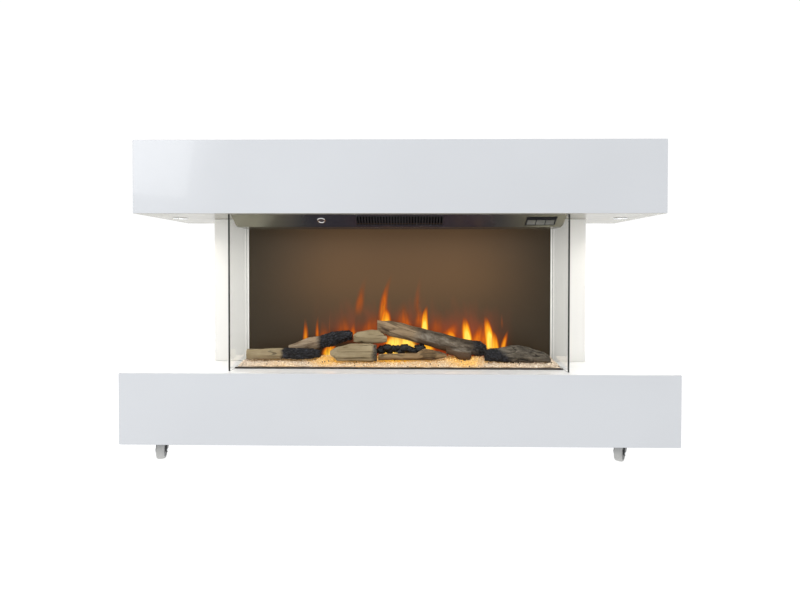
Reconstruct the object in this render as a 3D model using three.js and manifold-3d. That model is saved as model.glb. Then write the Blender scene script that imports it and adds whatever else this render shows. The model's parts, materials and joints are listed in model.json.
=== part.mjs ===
// Free-standing electric fireplace suite: a white mantel box and base box joined by two column
// wings, with an open flame effect between two side glasses, a fan heater in the mantel and four
// castors under the base.
// Millimetres. +X is the viewer's right, the front faces -Y, +Z is up.
// The origin is on the floor, under the middle of the base.
import * as THREE from "three";
import { mergeVertices, mergeGeometries } from "three/addons/utils/BufferGeometryUtils.js";
import Module from "manifold-3d";

const wasm = await Module();
wasm.setup();

// ---------------------------------------------------------------- driving dimensions

const GAP = 0.3; // clearance between neighbouring pieces
const BOARD = 18; // thickness of the lacquered boards

const BASE = { width: 1220, depth: 285, height: 157, bottom: 50 };
const MANTEL = { width: 1158, depth: 280, height: 160, bottom: 555 };
const REAR = BASE.depth / 2; // the plane that stands against the wall
const BASE_TOP = BASE.bottom + BASE.height;
const OPENING = { bottom: BASE_TOP + GAP, top: MANTEL.bottom - GAP };

const WING = { inner: 368.5, outer: 453, front: 2 };
const GLASS = { inner: 372.5, thickness: 4, front: -119.6 };
const SCREEN = { halfWidth: 368, front: 2.7, thickness: 3 };
const CASE = { halfWidth: 366, wall: 1.5, front: 7, rear: 138 };
const COVER = { halfWidth: 434, front: 139.4, thickness: 1.6 };
const LOUVRES = { banks: [-190, 190], halfLength: 75, rows: 8, lowest: 430, pitch: 13, height: 5 };
const INLET = { x: 330, z: 250, halfWidth: 14, halfHeight: 10, depth: 20, lip: 9, flange: 1.2 };

// The fascia is a folded sheet: a face that slopes back as it goes down, then a level soffit.
const FASCIA = { halfWidth: 372, topY: -114.5, bottomY: -76, bottomZ: 530, sheet: 1.5, corner: 5 };
const FASCIA_TOP_Z = OPENING.top;
const SLOPE_TURN = Math.PI - Math.atan2(FASCIA_TOP_Z - FASCIA.bottomZ, FASCIA.bottomY - FASCIA.topY);

const GRILLE = { x: 2.5, width: 195, height: 35, middle: -22.5, slats: 29, slat: 3.2, depth: 3 };
const RECEIVER = { x: -173.5, middle: -21, flangeRadius: 9.5, bodyRadius: 7.6, depth: 12 };
const BEZEL = { x: 319, width: 67, height: 29, middle: -23, lip: 1.2, proud: 1.2, depth: 12.5 };
const ROCKER = {
  width: 19,
  pitch: 20.8,
  middle: -27.6,
  radius: 8.5,
  pivotDepth: 3.2,
  tilt: THREE.MathUtils.degToRad(9),
};

const TRAY = {
  halfWidth: 371.9,
  front: -92,
  rear: WING.front - GAP,
  height: 3.6,
  floor: 1,
  sideRim: 5,
  endRim: 2,
};
const BED = { lift: 2.4, edge: 0.8, front: 3, rear: 7, bankStart: 0.5, columns: 36, rows: 8 };

const ROTOR = { y: 62, z: 272, left: -366, right: 296, shaft: 2.5, vane: 22, vanes: 14 };
const BLOWER = { y: -72, z: 618, halfLength: 112, radius: 21, shaft: 3, blades: 14 };
const HEAT_SLOT = { halfWidth: 106, front: -104, rear: -64 };
const WIRING_SLOT = { front: -112, rear: -66 }; // room above the receiver and the switches
const DOWNLIGHT = { x: 526, y: -22, radius: 13 };

const CASTOR = {
  leftX: -545,
  rightX: 512,
  frontY: -72,
  rearY: 96,
  trail: 18,
  wheelRadius: 20,
  wheelWidth: 17,
  plate: 44,
  plateThickness: 2.5,
};

const SIDES = 24; // segments round a turned piece

// ---------------------------------------------------------------- materials

function finish(color, roughness, metalness = 0) {
  return new THREE.MeshStandardMaterial({ color, roughness, metalness });
}

const lacquer = finish("#e4e6ea", 0.18);
const clearGlass = finish("#dfe8e4", 0.05);
const darkSheet = finish("#3d3a3c", 0.42, 0.4);
const blackPlastic = finish("#161618", 0.45);
const switchPlastic = finish("#2a2a2d", 0.35);
const chromePlate = finish("#d5d7da", 0.12, 1);
const galvanised = finish("#9da1a4", 0.45, 0.9);
const smokedScreen = finish("#5c5044", 0.3);
const traySteel = finish("#8f9092", 0.4, 0.8);
const crystal = finish("#f0d9c8", 0.35);
const ceramicTan = finish("#b3a688", 0.85);
const ceramicGrey = finish("#8c8578", 0.85);
const ceramicBrown = finish("#75685c", 0.88);
const ceramicCoal = finish("#24272c", 0.8);
const boardGreen = finish("#2d5b3a", 0.5);
const coilSteel = finish("#8a8078", 0.4, 0.9);
const castorBlack = finish("#1a1a1b", 0.5, 0.2);
const wheelGrey = finish("#c3c4c3", 0.55);

// ---------------------------------------------------------------- helpers

const fireplace = new THREE.Group();

function add(name, geometry, material, parent = fireplace) {
  const mesh = new THREE.Mesh(geometry, material);
  mesh.name = name;
  parent.add(mesh);
  return mesh;
}

function toSolid(geometry) {
  const bare = geometry.clone();
  bare.deleteAttribute("normal");
  bare.deleteAttribute("uv");
  const merged = mergeVertices(bare, 1e-4);
  return new wasm.Manifold(
    new wasm.Mesh({
      numProp: 3,
      vertProperties: Float32Array.from(merged.attributes.position.array),
      triVerts: Uint32Array.from(merged.index.array),
    }),
  );
}

function fromSolid(solid) {
  const mesh = solid.getMesh();
  const geometry = new THREE.BufferGeometry();
  geometry.setAttribute("position", new THREE.BufferAttribute(mesh.vertProperties, 3));
  geometry.setIndex(new THREE.BufferAttribute(mesh.triVerts, 1));
  geometry.computeVertexNormals();
  return geometry;
}

function cut(geometry, ...tools) {
  let solid = toSolid(geometry);
  for (const tool of tools) {
    solid = solid.subtract(toSolid(tool));
  }
  return fromSolid(solid);
}

function join(...geometries) {
  let solid = toSolid(geometries[0]);
  for (const geometry of geometries.slice(1)) {
    solid = solid.add(toSolid(geometry));
  }
  return fromSolid(solid);
}

// A box given by its lowest and highest corners.
function block(x0, y0, z0, x1, y1, z1) {
  const geometry = new THREE.BoxGeometry(x1 - x0, y1 - y0, z1 - z0);
  return geometry.translate((x0 + x1) / 2, (y0 + y1) / 2, (z0 + z1) / 2);
}

function rodAlongX(x0, x1, y, z, radius, sides = SIDES) {
  const geometry = new THREE.CylinderGeometry(radius, radius, x1 - x0, sides);
  return geometry.rotateZ(Math.PI / 2).translate((x0 + x1) / 2, y, z);
}

function rodAlongZ(x, y, z0, z1, radius, sides = SIDES) {
  const geometry = new THREE.CylinderGeometry(radius, radius, z1 - z0, sides);
  return geometry.rotateX(Math.PI / 2).translate(x, y, (z0 + z1) / 2);
}

function outline(points) {
  return new THREE.Shape(points.map(([x, y]) => new THREE.Vector2(x, y)));
}

// A profile drawn in (y, z), swept along X from x0 to x1.
function sweepAlongX(points, x0, x1) {
  const geometry = new THREE.ExtrudeGeometry(outline(points), { depth: x1 - x0, bevelEnabled: false });
  geometry.rotateY(Math.PI / 2).rotateX(Math.PI / 2);
  return geometry.translate(x0, 0, 0);
}

// A profile drawn in (x, y), raised from z0 to z1.
function raise(points, z0, z1) {
  const geometry = new THREE.ExtrudeGeometry(outline(points), { depth: z1 - z0, bevelEnabled: false });
  return geometry.translate(0, 0, z0);
}

// A solid between rings that have the same number of points, with flat ends.
function loft(rings) {
  const count = rings[0].length;
  const positions = rings.flat().flatMap((point) => [point.x, point.y, point.z]);
  const index = [];
  for (let ring = 0; ring < rings.length - 1; ring += 1) {
    for (let i = 0; i < count; i += 1) {
      const a = ring * count + i;
      const b = ring * count + ((i + 1) % count);
      index.push(a, b, b + count, a, b + count, a + count);
    }
  }
  const last = (rings.length - 1) * count;
  for (let i = 1; i < count - 1; i += 1) {
    index.push(0, i + 1, i);
    index.push(last, last + i, last + i + 1);
  }
  const geometry = new THREE.BufferGeometry();
  geometry.setAttribute("position", new THREE.Float32BufferAttribute(positions, 3));
  geometry.setIndex(index);
  geometry.computeVertexNormals();
  return geometry;
}

// ---------------------------------------------------------------- lacquered boxes

// One board of a box whose edges are mitred: its outer face is full size, its inner face is
// smaller by the board's thickness all round, and a small inset keeps it off its neighbours.
function mitredBoard(width, height) {
  const inset = GAP * 0.7;
  const ring = (shrink, z) => [
    new THREE.Vector3(-width / 2 + shrink, -height / 2 + shrink, z),
    new THREE.Vector3(width / 2 - shrink, -height / 2 + shrink, z),
    new THREE.Vector3(width / 2 - shrink, height / 2 - shrink, z),
    new THREE.Vector3(-width / 2 + shrink, height / 2 - shrink, z),
  ];
  return loft([ring(inset + BOARD, -BOARD), ring(inset, 0)]);
}

// The six boards of a closed box. The outer face of each board looks away from the box's middle.
function boardBox(prefix, size) {
  const { width, depth, height, bottom } = size;
  const middle = new THREE.Vector3(0, REAR - depth / 2, bottom + height / 2);
  const boards = [
    { name: "top_panel", face: [width, depth], turn: [0, 0], out: [0, 0, height / 2] },
    { name: "bottom_panel", face: [width, depth], turn: [Math.PI, 0], out: [0, 0, -height / 2] },
    { name: "front_panel", face: [width, height], turn: [Math.PI / 2, 0], out: [0, -depth / 2, 0] },
    { name: "back_panel", face: [width, height], turn: [-Math.PI / 2, 0], out: [0, depth / 2, 0] },
    { name: "left_end", face: [height, depth], turn: [0, -Math.PI / 2], out: [-width / 2, 0, 0] },
    { name: "right_end", face: [height, depth], turn: [0, Math.PI / 2], out: [width / 2, 0, 0] },
  ];
  const made = {};
  for (const { name, face, turn, out } of boards) {
    const geometry = mitredBoard(...face);
    geometry.rotateX(turn[0]).rotateY(turn[1]);
    geometry.translate(middle.x + out[0], middle.y + out[1], middle.z + out[2]);
    made[name] = add(`${prefix}_${name}`, geometry, lacquer);
  }
  return made;
}

function makeBoxes() {
  boardBox("base", BASE);
  const mantel = boardBox("mantel", MANTEL);
  const below = MANTEL.bottom - 1;
  const above = MANTEL.bottom + BOARD + 1;
  const { halfWidth, front, rear } = HEAT_SLOT;
  const slots = [block(-halfWidth, front, below, halfWidth, rear, above)];
  for (const { x, room } of [{ x: RECEIVER.x, room: 12 }, { x: BEZEL.x, room: BEZEL.width / 2 }]) {
    slots.push(block(x - room, WIRING_SLOT.front, below, x + room, WIRING_SLOT.rear, above));
  }
  const lampHoles = [-1, 1].map((side) => {
    return rodAlongZ(side * DOWNLIGHT.x, DOWNLIGHT.y, below, above, DOWNLIGHT.radius + GAP);
  });
  const bottom = mantel.bottom_panel;
  bottom.geometry = cut(bottom.geometry, ...slots, ...lampHoles);
}

// ---------------------------------------------------------------- columns, glass and case

function makeColumn(side, name) {
  const { inner, outer, front } = WING;
  const points = [
    [inner, front],
    [outer, front],
    [outer, REAR - GAP],
    [outer - BOARD, REAR - GAP],
    [outer - BOARD, front + BOARD],
    [inner, front + BOARD],
  ];
  const turned = side > 0 ? points : points.map(([x, y]) => [-x, y]).reverse();
  add(name, raise(turned, OPENING.bottom, OPENING.top), lacquer);
}

function makeSideGlass(side, name) {
  const near = side * GLASS.inner;
  const far = side * (GLASS.inner + GLASS.thickness);
  const [x0, x1] = [near, far].sort((a, b) => a - b);
  const rear = WING.front - GAP;
  add(name, block(x0, GLASS.front, OPENING.bottom, x1, rear, OPENING.top), clearGlass);
}

function makeScreen() {
  const { halfWidth, front, thickness } = SCREEN;
  const screen = block(-halfWidth, front, OPENING.bottom, halfWidth, front + thickness, OPENING.top);
  add("flame_screen", screen, smokedScreen);
}

// A sheet-steel sleeve between the screen and the rear cover, with a bearing hole for the rotor.
function makeCase() {
  const { halfWidth, wall, front, rear } = CASE;
  const z0 = OPENING.bottom + GAP;
  const z1 = OPENING.top - GAP;
  const shell = block(-halfWidth, front, z0, halfWidth, rear, z1);
  const hollow = block(-halfWidth + wall, front - 1, z0 + wall, halfWidth - wall, rear + 1, z1 - wall);
  const bearing = rodAlongX(-halfWidth - 1, -halfWidth + wall + 1, ROTOR.y, ROTOR.z, ROTOR.shaft + GAP);
  add("fire_case", cut(shell, hollow, bearing), galvanised);
}

function makeRearCover() {
  const { halfWidth, front, thickness } = COVER;
  const rear = front + thickness;
  const sheet = block(-halfWidth, front, OPENING.bottom, halfWidth, rear, OPENING.top);
  const slots = [];
  for (const bank of LOUVRES.banks) {
    for (let row = 0; row < LOUVRES.rows; row += 1) {
      const z = LOUVRES.lowest + row * LOUVRES.pitch;
      const left = bank - LOUVRES.halfLength;
      const right = bank + LOUVRES.halfLength;
      slots.push(block(left, front - 1, z, right, rear + 1, z + LOUVRES.height));
    }
  }
  const { x, z, halfWidth: inletWidth, halfHeight } = INLET;
  const inletHole = block(
    x - inletWidth - GAP, front - 1, z - halfHeight - GAP,
    x + inletWidth + GAP, rear + 1, z + halfHeight + GAP,
  );
  add("rear_cover", cut(sheet, ...slots, inletHole), galvanised);
}

// The appliance inlet: a recessed socket with three flat pins, behind a flange on the rear cover.
function makeInlet() {
  const { x, z, halfWidth, halfHeight, depth, lip, flange } = INLET;
  const coverRear = COVER.front + COVER.thickness;
  const body = block(
    x - halfWidth, COVER.front - depth, z - halfHeight,
    x + halfWidth, coverRear + GAP, z + halfHeight,
  );
  const plate = block(
    x - halfWidth - lip, coverRear + GAP, z - halfHeight - 3,
    x + halfWidth + lip, coverRear + GAP + flange, z + halfHeight + 3,
  );
  const recess = block(
    x - halfWidth + 2, COVER.front - depth + 3, z - halfHeight + 2,
    x + halfWidth - 2, coverRear + 5, z + halfHeight - 2,
  );
  const pins = [-7, 0, 7].map((across) => {
    const up = across === 0 ? 3 : -1;
    const pinTip = COVER.front - 3;
    return block(x + across - 1, COVER.front - depth + 2, z + up - 2, x + across + 1, pinTip, z + up + 2);
  });
  const socket = cut(join(body, plate), recess);
  add("power_inlet", join(socket, ...pins), blackPlastic);
}

// ---------------------------------------------------------------- fascia

// Cuts the sharp lower corner off one end of the sloping face, to a quarter round.
function fasciaCorner(side) {
  const { halfWidth, topY, bottomY, bottomZ, corner } = FASCIA;
  const x = side * (halfWidth - corner);
  const [x0, x1] = [x, side * (halfWidth + 1)].sort((a, b) => a - b);
  const rear = bottomY + 6;
  const square = block(x0, topY - 5, bottomZ - 1, x1, rear, bottomZ + corner);
  const round = new THREE.CylinderGeometry(corner, corner, rear - topY + 20, 2 * SIDES);
  return cut(square, round.translate(x, (rear + topY) / 2, bottomZ + corner));
}

function makeFascia() {
  const { halfWidth, topY, bottomY, bottomZ, sheet } = FASCIA;
  const rear = WING.front - GAP;
  const profile = [
    [topY, FASCIA_TOP_Z],
    [bottomY, bottomZ],
    [rear, bottomZ],
    [rear, bottomZ + sheet],
    [bottomY + sheet * 0.3, bottomZ + sheet],
    [topY + sheet * 1.85, FASCIA_TOP_Z],
  ];
  const folded = sweepAlongX(profile, -halfWidth, halfWidth);

  const face = new THREE.Group();
  face.position.set(0, topY, FASCIA_TOP_Z);
  face.rotation.x = SLOPE_TURN;
  face.updateMatrix();
  fireplace.add(face);

  const hole = (x, middle, width, height) => {
    const tool = block(x - width / 2, middle - height / 2, -8, x + width / 2, middle + height / 2, 8);
    return tool.applyMatrix4(face.matrix);
  };
  const receiverHole = rodAlongZ(RECEIVER.x, RECEIVER.middle, -8, 8, RECEIVER.bodyRadius + GAP);
  receiverHole.applyMatrix4(face.matrix);
  const bezelRoom = 2 * GAP - 2 * BEZEL.lip;
  const tools = [
    hole(GRILLE.x, GRILLE.middle, GRILLE.width + 2 * GAP, GRILLE.height + 2 * GAP),
    hole(BEZEL.x, BEZEL.middle, BEZEL.width + bezelRoom, BEZEL.height + bezelRoom),
    receiverHole,
    fasciaCorner(-1),
    fasciaCorner(1),
  ];
  add("fascia_panel", cut(folded, ...tools), darkSheet);
  return face;
}

// The warm-air grille: upright slats in a thin frame, flush with the sloping face.
function makeGrille(face) {
  const { x, width, height, middle, slats, slat, depth } = GRILLE;
  const rim = 2;
  const frame = block(x - width / 2, middle - height / 2, -depth, x + width / 2, middle + height / 2, 0);
  const pitch = (width - 2 * rim + slat) / (slats + 1);
  const slots = [];
  for (let i = 0; i <= slats; i += 1) {
    const start = x - width / 2 + rim + i * pitch;
    const low = middle - height / 2 + rim;
    slots.push(block(start, low, -depth - 1, start + pitch - slat, low + height - 2 * rim, 1));
  }
  const tool = mergeGeometries(slots.map((slot) => slot.toNonIndexed()));
  add("outlet_grille", cut(frame, tool), blackPlastic, face);
}

function makeReceiver(face) {
  const { x, middle, flangeRadius, bodyRadius, depth } = RECEIVER;
  const profile = [
    [0, -depth],
    [bodyRadius, -depth],
    [bodyRadius, GAP],
    [flangeRadius, GAP],
    [flangeRadius, GAP + 0.8],
    [flangeRadius - 1.2, GAP + 1.6],
    [0, GAP + 1.6],
  ];
  const turned = new THREE.LatheGeometry(profile.map(([r, h]) => new THREE.Vector2(r, h)), SIDES);
  turned.rotateX(Math.PI / 2).translate(x, middle, 0);
  add("ir_receiver", turned, chromePlate, face);
}

// The bezel carries three cells, each closed behind, and a lip that lies on the fascia.
function makeSwitches(face) {
  const { x, width, height, middle, lip, proud, depth } = BEZEL;
  const plate = block(
    x - width / 2, middle - height / 2, GAP,
    x + width / 2, middle + height / 2, GAP + proud,
  );
  const body = block(
    x - width / 2 + lip, middle - height / 2 + lip, -depth,
    x + width / 2 - lip, middle + height / 2 - lip, GAP + 0.1,
  );
  const cells = [];
  const places = [-1, 0, 1].map((step) => x + step * ROCKER.pitch);
  const halfWidth = ROCKER.width / 2 + GAP;
  const halfHeight = ROCKER.radius + GAP + 0.2;
  for (const place of places) {
    cells.push(block(
      place - halfWidth, ROCKER.middle - halfHeight, -depth + 1.5,
      place + halfWidth, ROCKER.middle + halfHeight, 5,
    ));
  }
  add("switch_bezel", cut(join(plate, body), ...cells), blackPlastic, face);

  const names = ["rocker_power", "rocker_low_heat", "rocker_high_heat"];
  names.forEach((name, i) => add(name, rockerSolid(places[i]), switchPlastic, face));
}

// A rocker turns about an axle behind the face. Its ends are arcs about that axle, so they never
// meet the bezel, and its front is two shallow flats that meet over the axle. As drawn, the end
// nearer the mantel is pressed in.
function rockerSolid(x) {
  const { width, middle, radius, pivotDepth, tilt } = ROCKER;
  const steps = 5;
  const skirt = 0.5; // how far round its axle each end reaches behind the axle
  const shoulder = Math.asin((pivotDepth + GAP + BEZEL.proud) / radius);
  const crown = GAP + BEZEL.proud - 0.3;
  const points = [];
  const addArc = (from, to) => {
    for (let i = 0; i <= steps; i += 1) {
      const angle = from + ((to - from) * i) / steps;
      points.push([middle + radius * Math.cos(angle), -pivotDepth + radius * Math.sin(angle)]);
    }
  };
  addArc(-skirt, shoulder - tilt);
  points.push([middle, crown]);
  addArc(Math.PI - shoulder - tilt, Math.PI + skirt);
  return sweepAlongX(points, x - width / 2, x + width / 2);
}

// ---------------------------------------------------------------- fuel bed

function makeTray() {
  const { halfWidth, front, rear, height, floor, sideRim, endRim } = TRAY;
  const z0 = OPENING.bottom;
  const body = block(-halfWidth, front, z0, halfWidth, rear, z0 + height);
  const pocket = block(
    -halfWidth + sideRim, front + endRim, z0 + floor,
    halfWidth - sideRim, rear - endRim, z0 + height + 1,
  );
  add("fuel_tray", cut(body, pocket), traySteel);
}

// Height of the crystals over the underside of the bed: a short slope up from the lip, a level
// under the front logs, then a bank that rises to the screen.
function bedHeight(across, back) {
  const ripple = 0.35 * Math.sin(across * 31) * Math.cos(back * 9 + across * 17);
  const slope = BED.front * THREE.MathUtils.smoothstep(back, 0, 0.22);
  const bank = BED.rear * THREE.MathUtils.smoothstep(back, BED.bankStart, 1);
  return BED.edge + slope + bank + ripple;
}

function makeBed() {
  const { halfWidth, front, rear, sideRim, endRim, floor } = TRAY;
  const x1 = halfWidth - sideRim - GAP;
  const y0 = front + endRim + GAP;
  const y1 = rear - endRim - GAP;
  const bottom = OPENING.bottom + floor + BED.lift;
  const rings = [];
  for (let column = 0; column <= BED.columns; column += 1) {
    const across = -1 + (2 * column) / BED.columns;
    const ring = [];
    for (let row = 0; row <= BED.rows; row += 1) {
      const back = row / BED.rows;
      ring.push(new THREE.Vector3(across * x1, y0 + (y1 - y0) * back, bottom + bedHeight(across, back)));
    }
    ring.push(new THREE.Vector3(across * x1, y1, bottom));
    ring.push(new THREE.Vector3(across * x1, y0, bottom));
    rings.push(ring.reverse());
  }
  add("ember_bed", loft(rings), crystal);
}

// A knotty log: stations along it give its middle and its half-sizes across and up. A squareness
// of 2 makes round sections, and a larger one makes sawn sections with soft corners.
function logSolid(stations, squareness = 2, sides = 12) {
  const rings = stations.map(({ at, size }, ringIndex) => {
    const ring = [];
    for (let i = 0; i < sides; i += 1) {
      const angle = (2 * Math.PI * (i + 0.5)) / sides;
      const [across, up] = [Math.cos(angle), Math.sin(angle)];
      const spread = Math.abs(across) ** squareness + Math.abs(up) ** squareness;
      const bark = 0.96 + 0.04 * Math.cos(3 * angle + 1.7 * ringIndex);
      const reach = bark * spread ** (-1 / squareness);
      ring.push(new THREE.Vector3(at[0], at[1] + size[0] * reach * across, at[2] + size[1] * reach * up));
    }
    return ring;
  });
  return loft(rings);
}

const LOGS = [
  {
    name: "left_log",
    material: ceramicTan,
    squareness: 7,
    stations: [
      { at: [-357, -46, 233], size: [12.5, 12.2] },
      { at: [-278, -46, 233.3], size: [13, 12.6] },
      { at: [-268, -46, 233.5], size: [13.5, 13.5] },
      { at: [-205, -46, 234.5], size: [13, 13] },
      { at: [-184, -46, 234], size: [9, 8.5] },
    ],
  },
  {
    name: "rear_left_log",
    material: ceramicBrown,
    squareness: 2.6,
    stations: [
      { at: [-266, -15, 243], size: [8, 7] },
      { at: [-250, -15, 244], size: [11, 11] },
      { at: [-223, -15, 250.5], size: [13, 15.5] },
      { at: [-200, -15, 255], size: [13, 17.5] },
      { at: [-160, -15, 263.5], size: [13, 19] },
      { at: [-122, -15, 273], size: [11, 13.5] },
      { at: [-112, -15, 271.5], size: [8, 9] },
    ],
  },
  {
    name: "mid_log",
    material: ceramicTan,
    squareness: 3,
    stations: [
      { at: [-108, -39.5, 270.5], size: [5, 8] },
      { at: [-99, -39.5, 272.5], size: [7.5, 13.5] },
      { at: [-66, -39.5, 274.5], size: [7.7, 16.5] },
      { at: [-49, -39.5, 275], size: [7.5, 15] },
      { at: [-28, -39.5, 269], size: [5, 6] },
    ],
  },
  {
    name: "front_log",
    material: ceramicTan,
    squareness: 4,
    stations: [
      { at: [-160, -62, 239], size: [7, 5] },
      { at: [-142, -62, 236], size: [12, 17] },
      { at: [-112, -62, 239.8], size: [13.5, 21.5] },
      { at: [-66, -62, 240.8], size: [13.5, 22.5] },
      { at: [-50, -62, 239], size: [12.5, 20] },
    ],
  },
  {
    name: "main_log",
    material: ceramicGrey,
    squareness: 3,
    stations: [
      { at: [-52, -15, 296], size: [12, 14.5] },
      { at: [-22, -17, 290.3], size: [13.5, 20] },
      { at: [30, -20, 278.5], size: [14.5, 20.3] },
      { at: [90, -22, 262.5], size: [15, 20.8] },
      { at: [150, -24, 248.5], size: [15, 20.5] },
      { at: [196, -26, 242.5], size: [12.5, 18] },
      { at: [210, -27, 240], size: [9, 12] },
    ],
    branch: [
      { at: [112, -34, 240], size: [8, 8] },
      { at: [131, -38, 236], size: [9, 9.5] },
      { at: [141, -40, 232], size: [9, 13] },
      { at: [150, -41, 229.3], size: [8, 12.5] },
      { at: [167, -41, 229.3], size: [8, 12.5] },
      { at: [171, -40, 231], size: [6, 10.5] },
    ],
  },
  {
    name: "rear_long_log",
    material: ceramicBrown,
    squareness: 3,
    stations: [
      { at: [-48, -51, 227.7], size: [8.5, 8.7] },
      { at: [42, -51, 227.9], size: [8.8, 9.4] },
      { at: [60, -51, 233.5], size: [8.5, 15] },
      { at: [80, -51, 233.3], size: [8, 12.8] },
      { at: [113, -51, 230.5], size: [5, 5.5] },
    ],
  },
  {
    name: "right_log",
    material: ceramicBrown,
    squareness: 2.8,
    stations: [
      { at: [199, -57, 233.5], size: [10, 13] },
      { at: [212, -57, 234.3], size: [13, 17] },
      { at: [243, -57, 234.5], size: [13.5, 18.4] },
      { at: [281, -57, 236.6], size: [13.5, 20.4] },
      { at: [301, -57, 234.6], size: [13, 18] },
      { at: [318, -57, 231.5], size: [12, 13.5] },
      { at: [338, -57, 229], size: [10.5, 10.8] },
      { at: [351, -57, 224], size: [7, 6] },
    ],
  },
  {
    name: "coal_centre",
    material: ceramicCoal,
    squareness: 2,
    stations: [
      { at: [-50, -31, 241], size: [5, 9] },
      { at: [-28, -31, 241], size: [6.5, 11] },
      { at: [-2, -31, 238.5], size: [6, 10] },
      { at: [24, -31, 242.5], size: [6.5, 12.5] },
      { at: [40, -31, 240.5], size: [6, 11] },
      { at: [59, -32, 237], size: [5, 8] },
    ],
  },
];

function makeLogs() {
  for (const { name, material, squareness, stations, branch } of LOGS) {
    const trunk = logSolid(stations, squareness);
    add(name, branch ? join(trunk, logSolid(branch)) : trunk, material);
  }
}

// ---------------------------------------------------------------- flame effect behind the screen

// A shaft with bright vanes at changing angles, which throws moving light on the screen.
function makeRotor() {
  const { y, z, left, right, shaft, vane, vanes } = ROTOR;
  const pieces = [rodAlongX(left, right, y, z, shaft, 12)];
  const pitch = (right - left - 60) / vanes;
  for (let i = 0; i < vanes; i += 1) {
    const start = left + 30 + i * pitch;
    const blade = block(start, -vane, -0.5, start + pitch * 0.72, vane, 0.5);
    blade.rotateX((i * Math.PI * 5) / 13).translate(0, y, z);
    pieces.push(blade);
  }
  add("flame_rotor", join(...pieces), chromePlate);

  const start = right + GAP;
  const end = CASE.halfWidth - CASE.wall - GAP;
  const motor = join(
    rodAlongX(start + 8, end, y, z, 24),
    rodAlongX(start, start + 9, y, z, 9),
  );
  add("rotor_motor", motor, blackPlastic);
}

// A lamp board: a narrow strip with a row of small lamps standing on it.
function lampBoard(halfLength, y, z, width, lamps, lampHeight) {
  const thickness = 1.2;
  const pieces = [block(-halfLength, y - width / 2, z, halfLength, y + width / 2, z + thickness)];
  const pitch = (2 * halfLength - 30) / (lamps - 1);
  for (let i = 0; i < lamps; i += 1) {
    const x = -halfLength + 15 + i * pitch;
    pieces.push(block(x - 2.5, y - 2.5, z + thickness - 0.2, x + 2.5, y + 2.5, z + thickness + lampHeight));
  }
  return join(...pieces);
}

function makeLampBoards() {
  const caseFloor = OPENING.bottom + GAP + CASE.wall + GAP;
  add("flame_lamp_board", lampBoard(300, 36, caseFloor, 20, 16, 3), boardGreen);
  const trayFloor = OPENING.bottom + TRAY.floor + GAP;
  add("ember_lamp_board", lampBoard(330, -36, trayFloor, 12, 20, 0.6), boardGreen);
}

// ---------------------------------------------------------------- heater in the mantel

// The blower's casing is a bent sheet round the impeller that opens down into the heat slot.
function makeBlower() {
  const { y, z, halfLength, radius, shaft, blades } = BLOWER;
  const sheet = 1.5;
  const inner = radius + 5;
  const bottom = MANTEL.bottom + BOARD + GAP;
  const start = -0.25;
  const end = Math.PI + 0.1;
  const arc = (r, from, to) => {
    const steps = 14;
    const points = [];
    for (let i = 0; i <= steps; i += 1) {
      const angle = from + ((to - from) * i) / steps;
      points.push([y + r * Math.cos(angle), z + r * Math.sin(angle)]);
    }
    return points;
  };
  const outside = [...arc(inner + sheet, start, end), [y - inner - sheet, bottom]];
  const inside = [[y - inner, bottom], ...arc(inner, end, start)];
  add("blower_housing", sweepAlongX([...outside, ...inside], -halfLength, halfLength), galvanised);

  const disc = 2;
  const parts = [rodAlongX(-halfLength - 8, halfLength, y, z, shaft, 12)];
  for (const x of [-halfLength + 2, halfLength - 2 - disc]) {
    parts.push(rodAlongX(x, x + disc, y, z, radius));
  }
  for (let i = 0; i < blades; i += 1) {
    const blade = block(-halfLength + 3, radius - 7, -0.5, halfLength - 3, radius - 0.8, 0.5);
    blade.rotateX((2 * Math.PI * i) / blades).translate(0, y, z);
    parts.push(blade);
  }
  add("blower_impeller", join(...parts), blackPlastic);

  const motorEnd = -halfLength - 8 - GAP;
  const motor = join(
    rodAlongX(motorEnd - 34, motorEnd - 6, y, z, 20),
    rodAlongX(motorEnd - 7, motorEnd, y, z, 8),
  );
  add("blower_motor", motor, blackPlastic);
}

// A folded resistance ribbon that lies in the heat slot of the mantel's bottom board.
function makeHeater() {
  const folds = 22;
  const shift = 2.4; // half of the ribbon's thickness, measured along Y
  const reach = HEAT_SLOT.halfWidth - 6;
  const near = [];
  const far = [];
  for (let i = 0; i <= folds; i += 1) {
    const x = -reach + (2 * reach * i) / folds;
    const y = i % 2 === 0 ? HEAT_SLOT.front + 5 : HEAT_SLOT.rear - 5;
    near.push([x, y - shift]);
    far.push([x, y + shift]);
  }
  add("heating_element", raise([...near, ...far.reverse()], 558, 569), coilSteel);
}

function makeControlBoard() {
  const z = MANTEL.bottom + BOARD + GAP;
  const board = block(300, -60, z + 8, 450, 30, z + 9.6);
  const standoffs = [];
  for (const x of [308, 442]) {
    for (const y of [-52, 22]) {
      standoffs.push(rodAlongZ(x, y, z, z + 8.5, 3, 12));
    }
  }
  const relay = block(320, -30, z + 9, 348, -12, z + 27);
  const transformer = block(380, -25, z + 9, 425, 15, z + 42);
  add("control_board", join(board, relay, transformer, ...standoffs), boardGreen);
}

function makeDownlight(side, name) {
  const { x, y, radius } = DOWNLIGHT;
  const z = MANTEL.bottom;
  const profile = [
    [0, z + 14],
    [radius, z + 14],
    [radius, z - GAP],
    [radius + 3, z - GAP],
    [radius + 2.4, z - GAP - 1.6],
    [radius - 2, z - GAP - 1.6],
    [radius - 4, z + 1],
    [0, z + 1],
  ];
  const turned = new THREE.LatheGeometry(profile.map(([r, h]) => new THREE.Vector2(r, h)).reverse(), SIDES);
  turned.rotateX(Math.PI / 2).translate(side * x, y, 0);
  add(name, turned, chromePlate);
}

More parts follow.
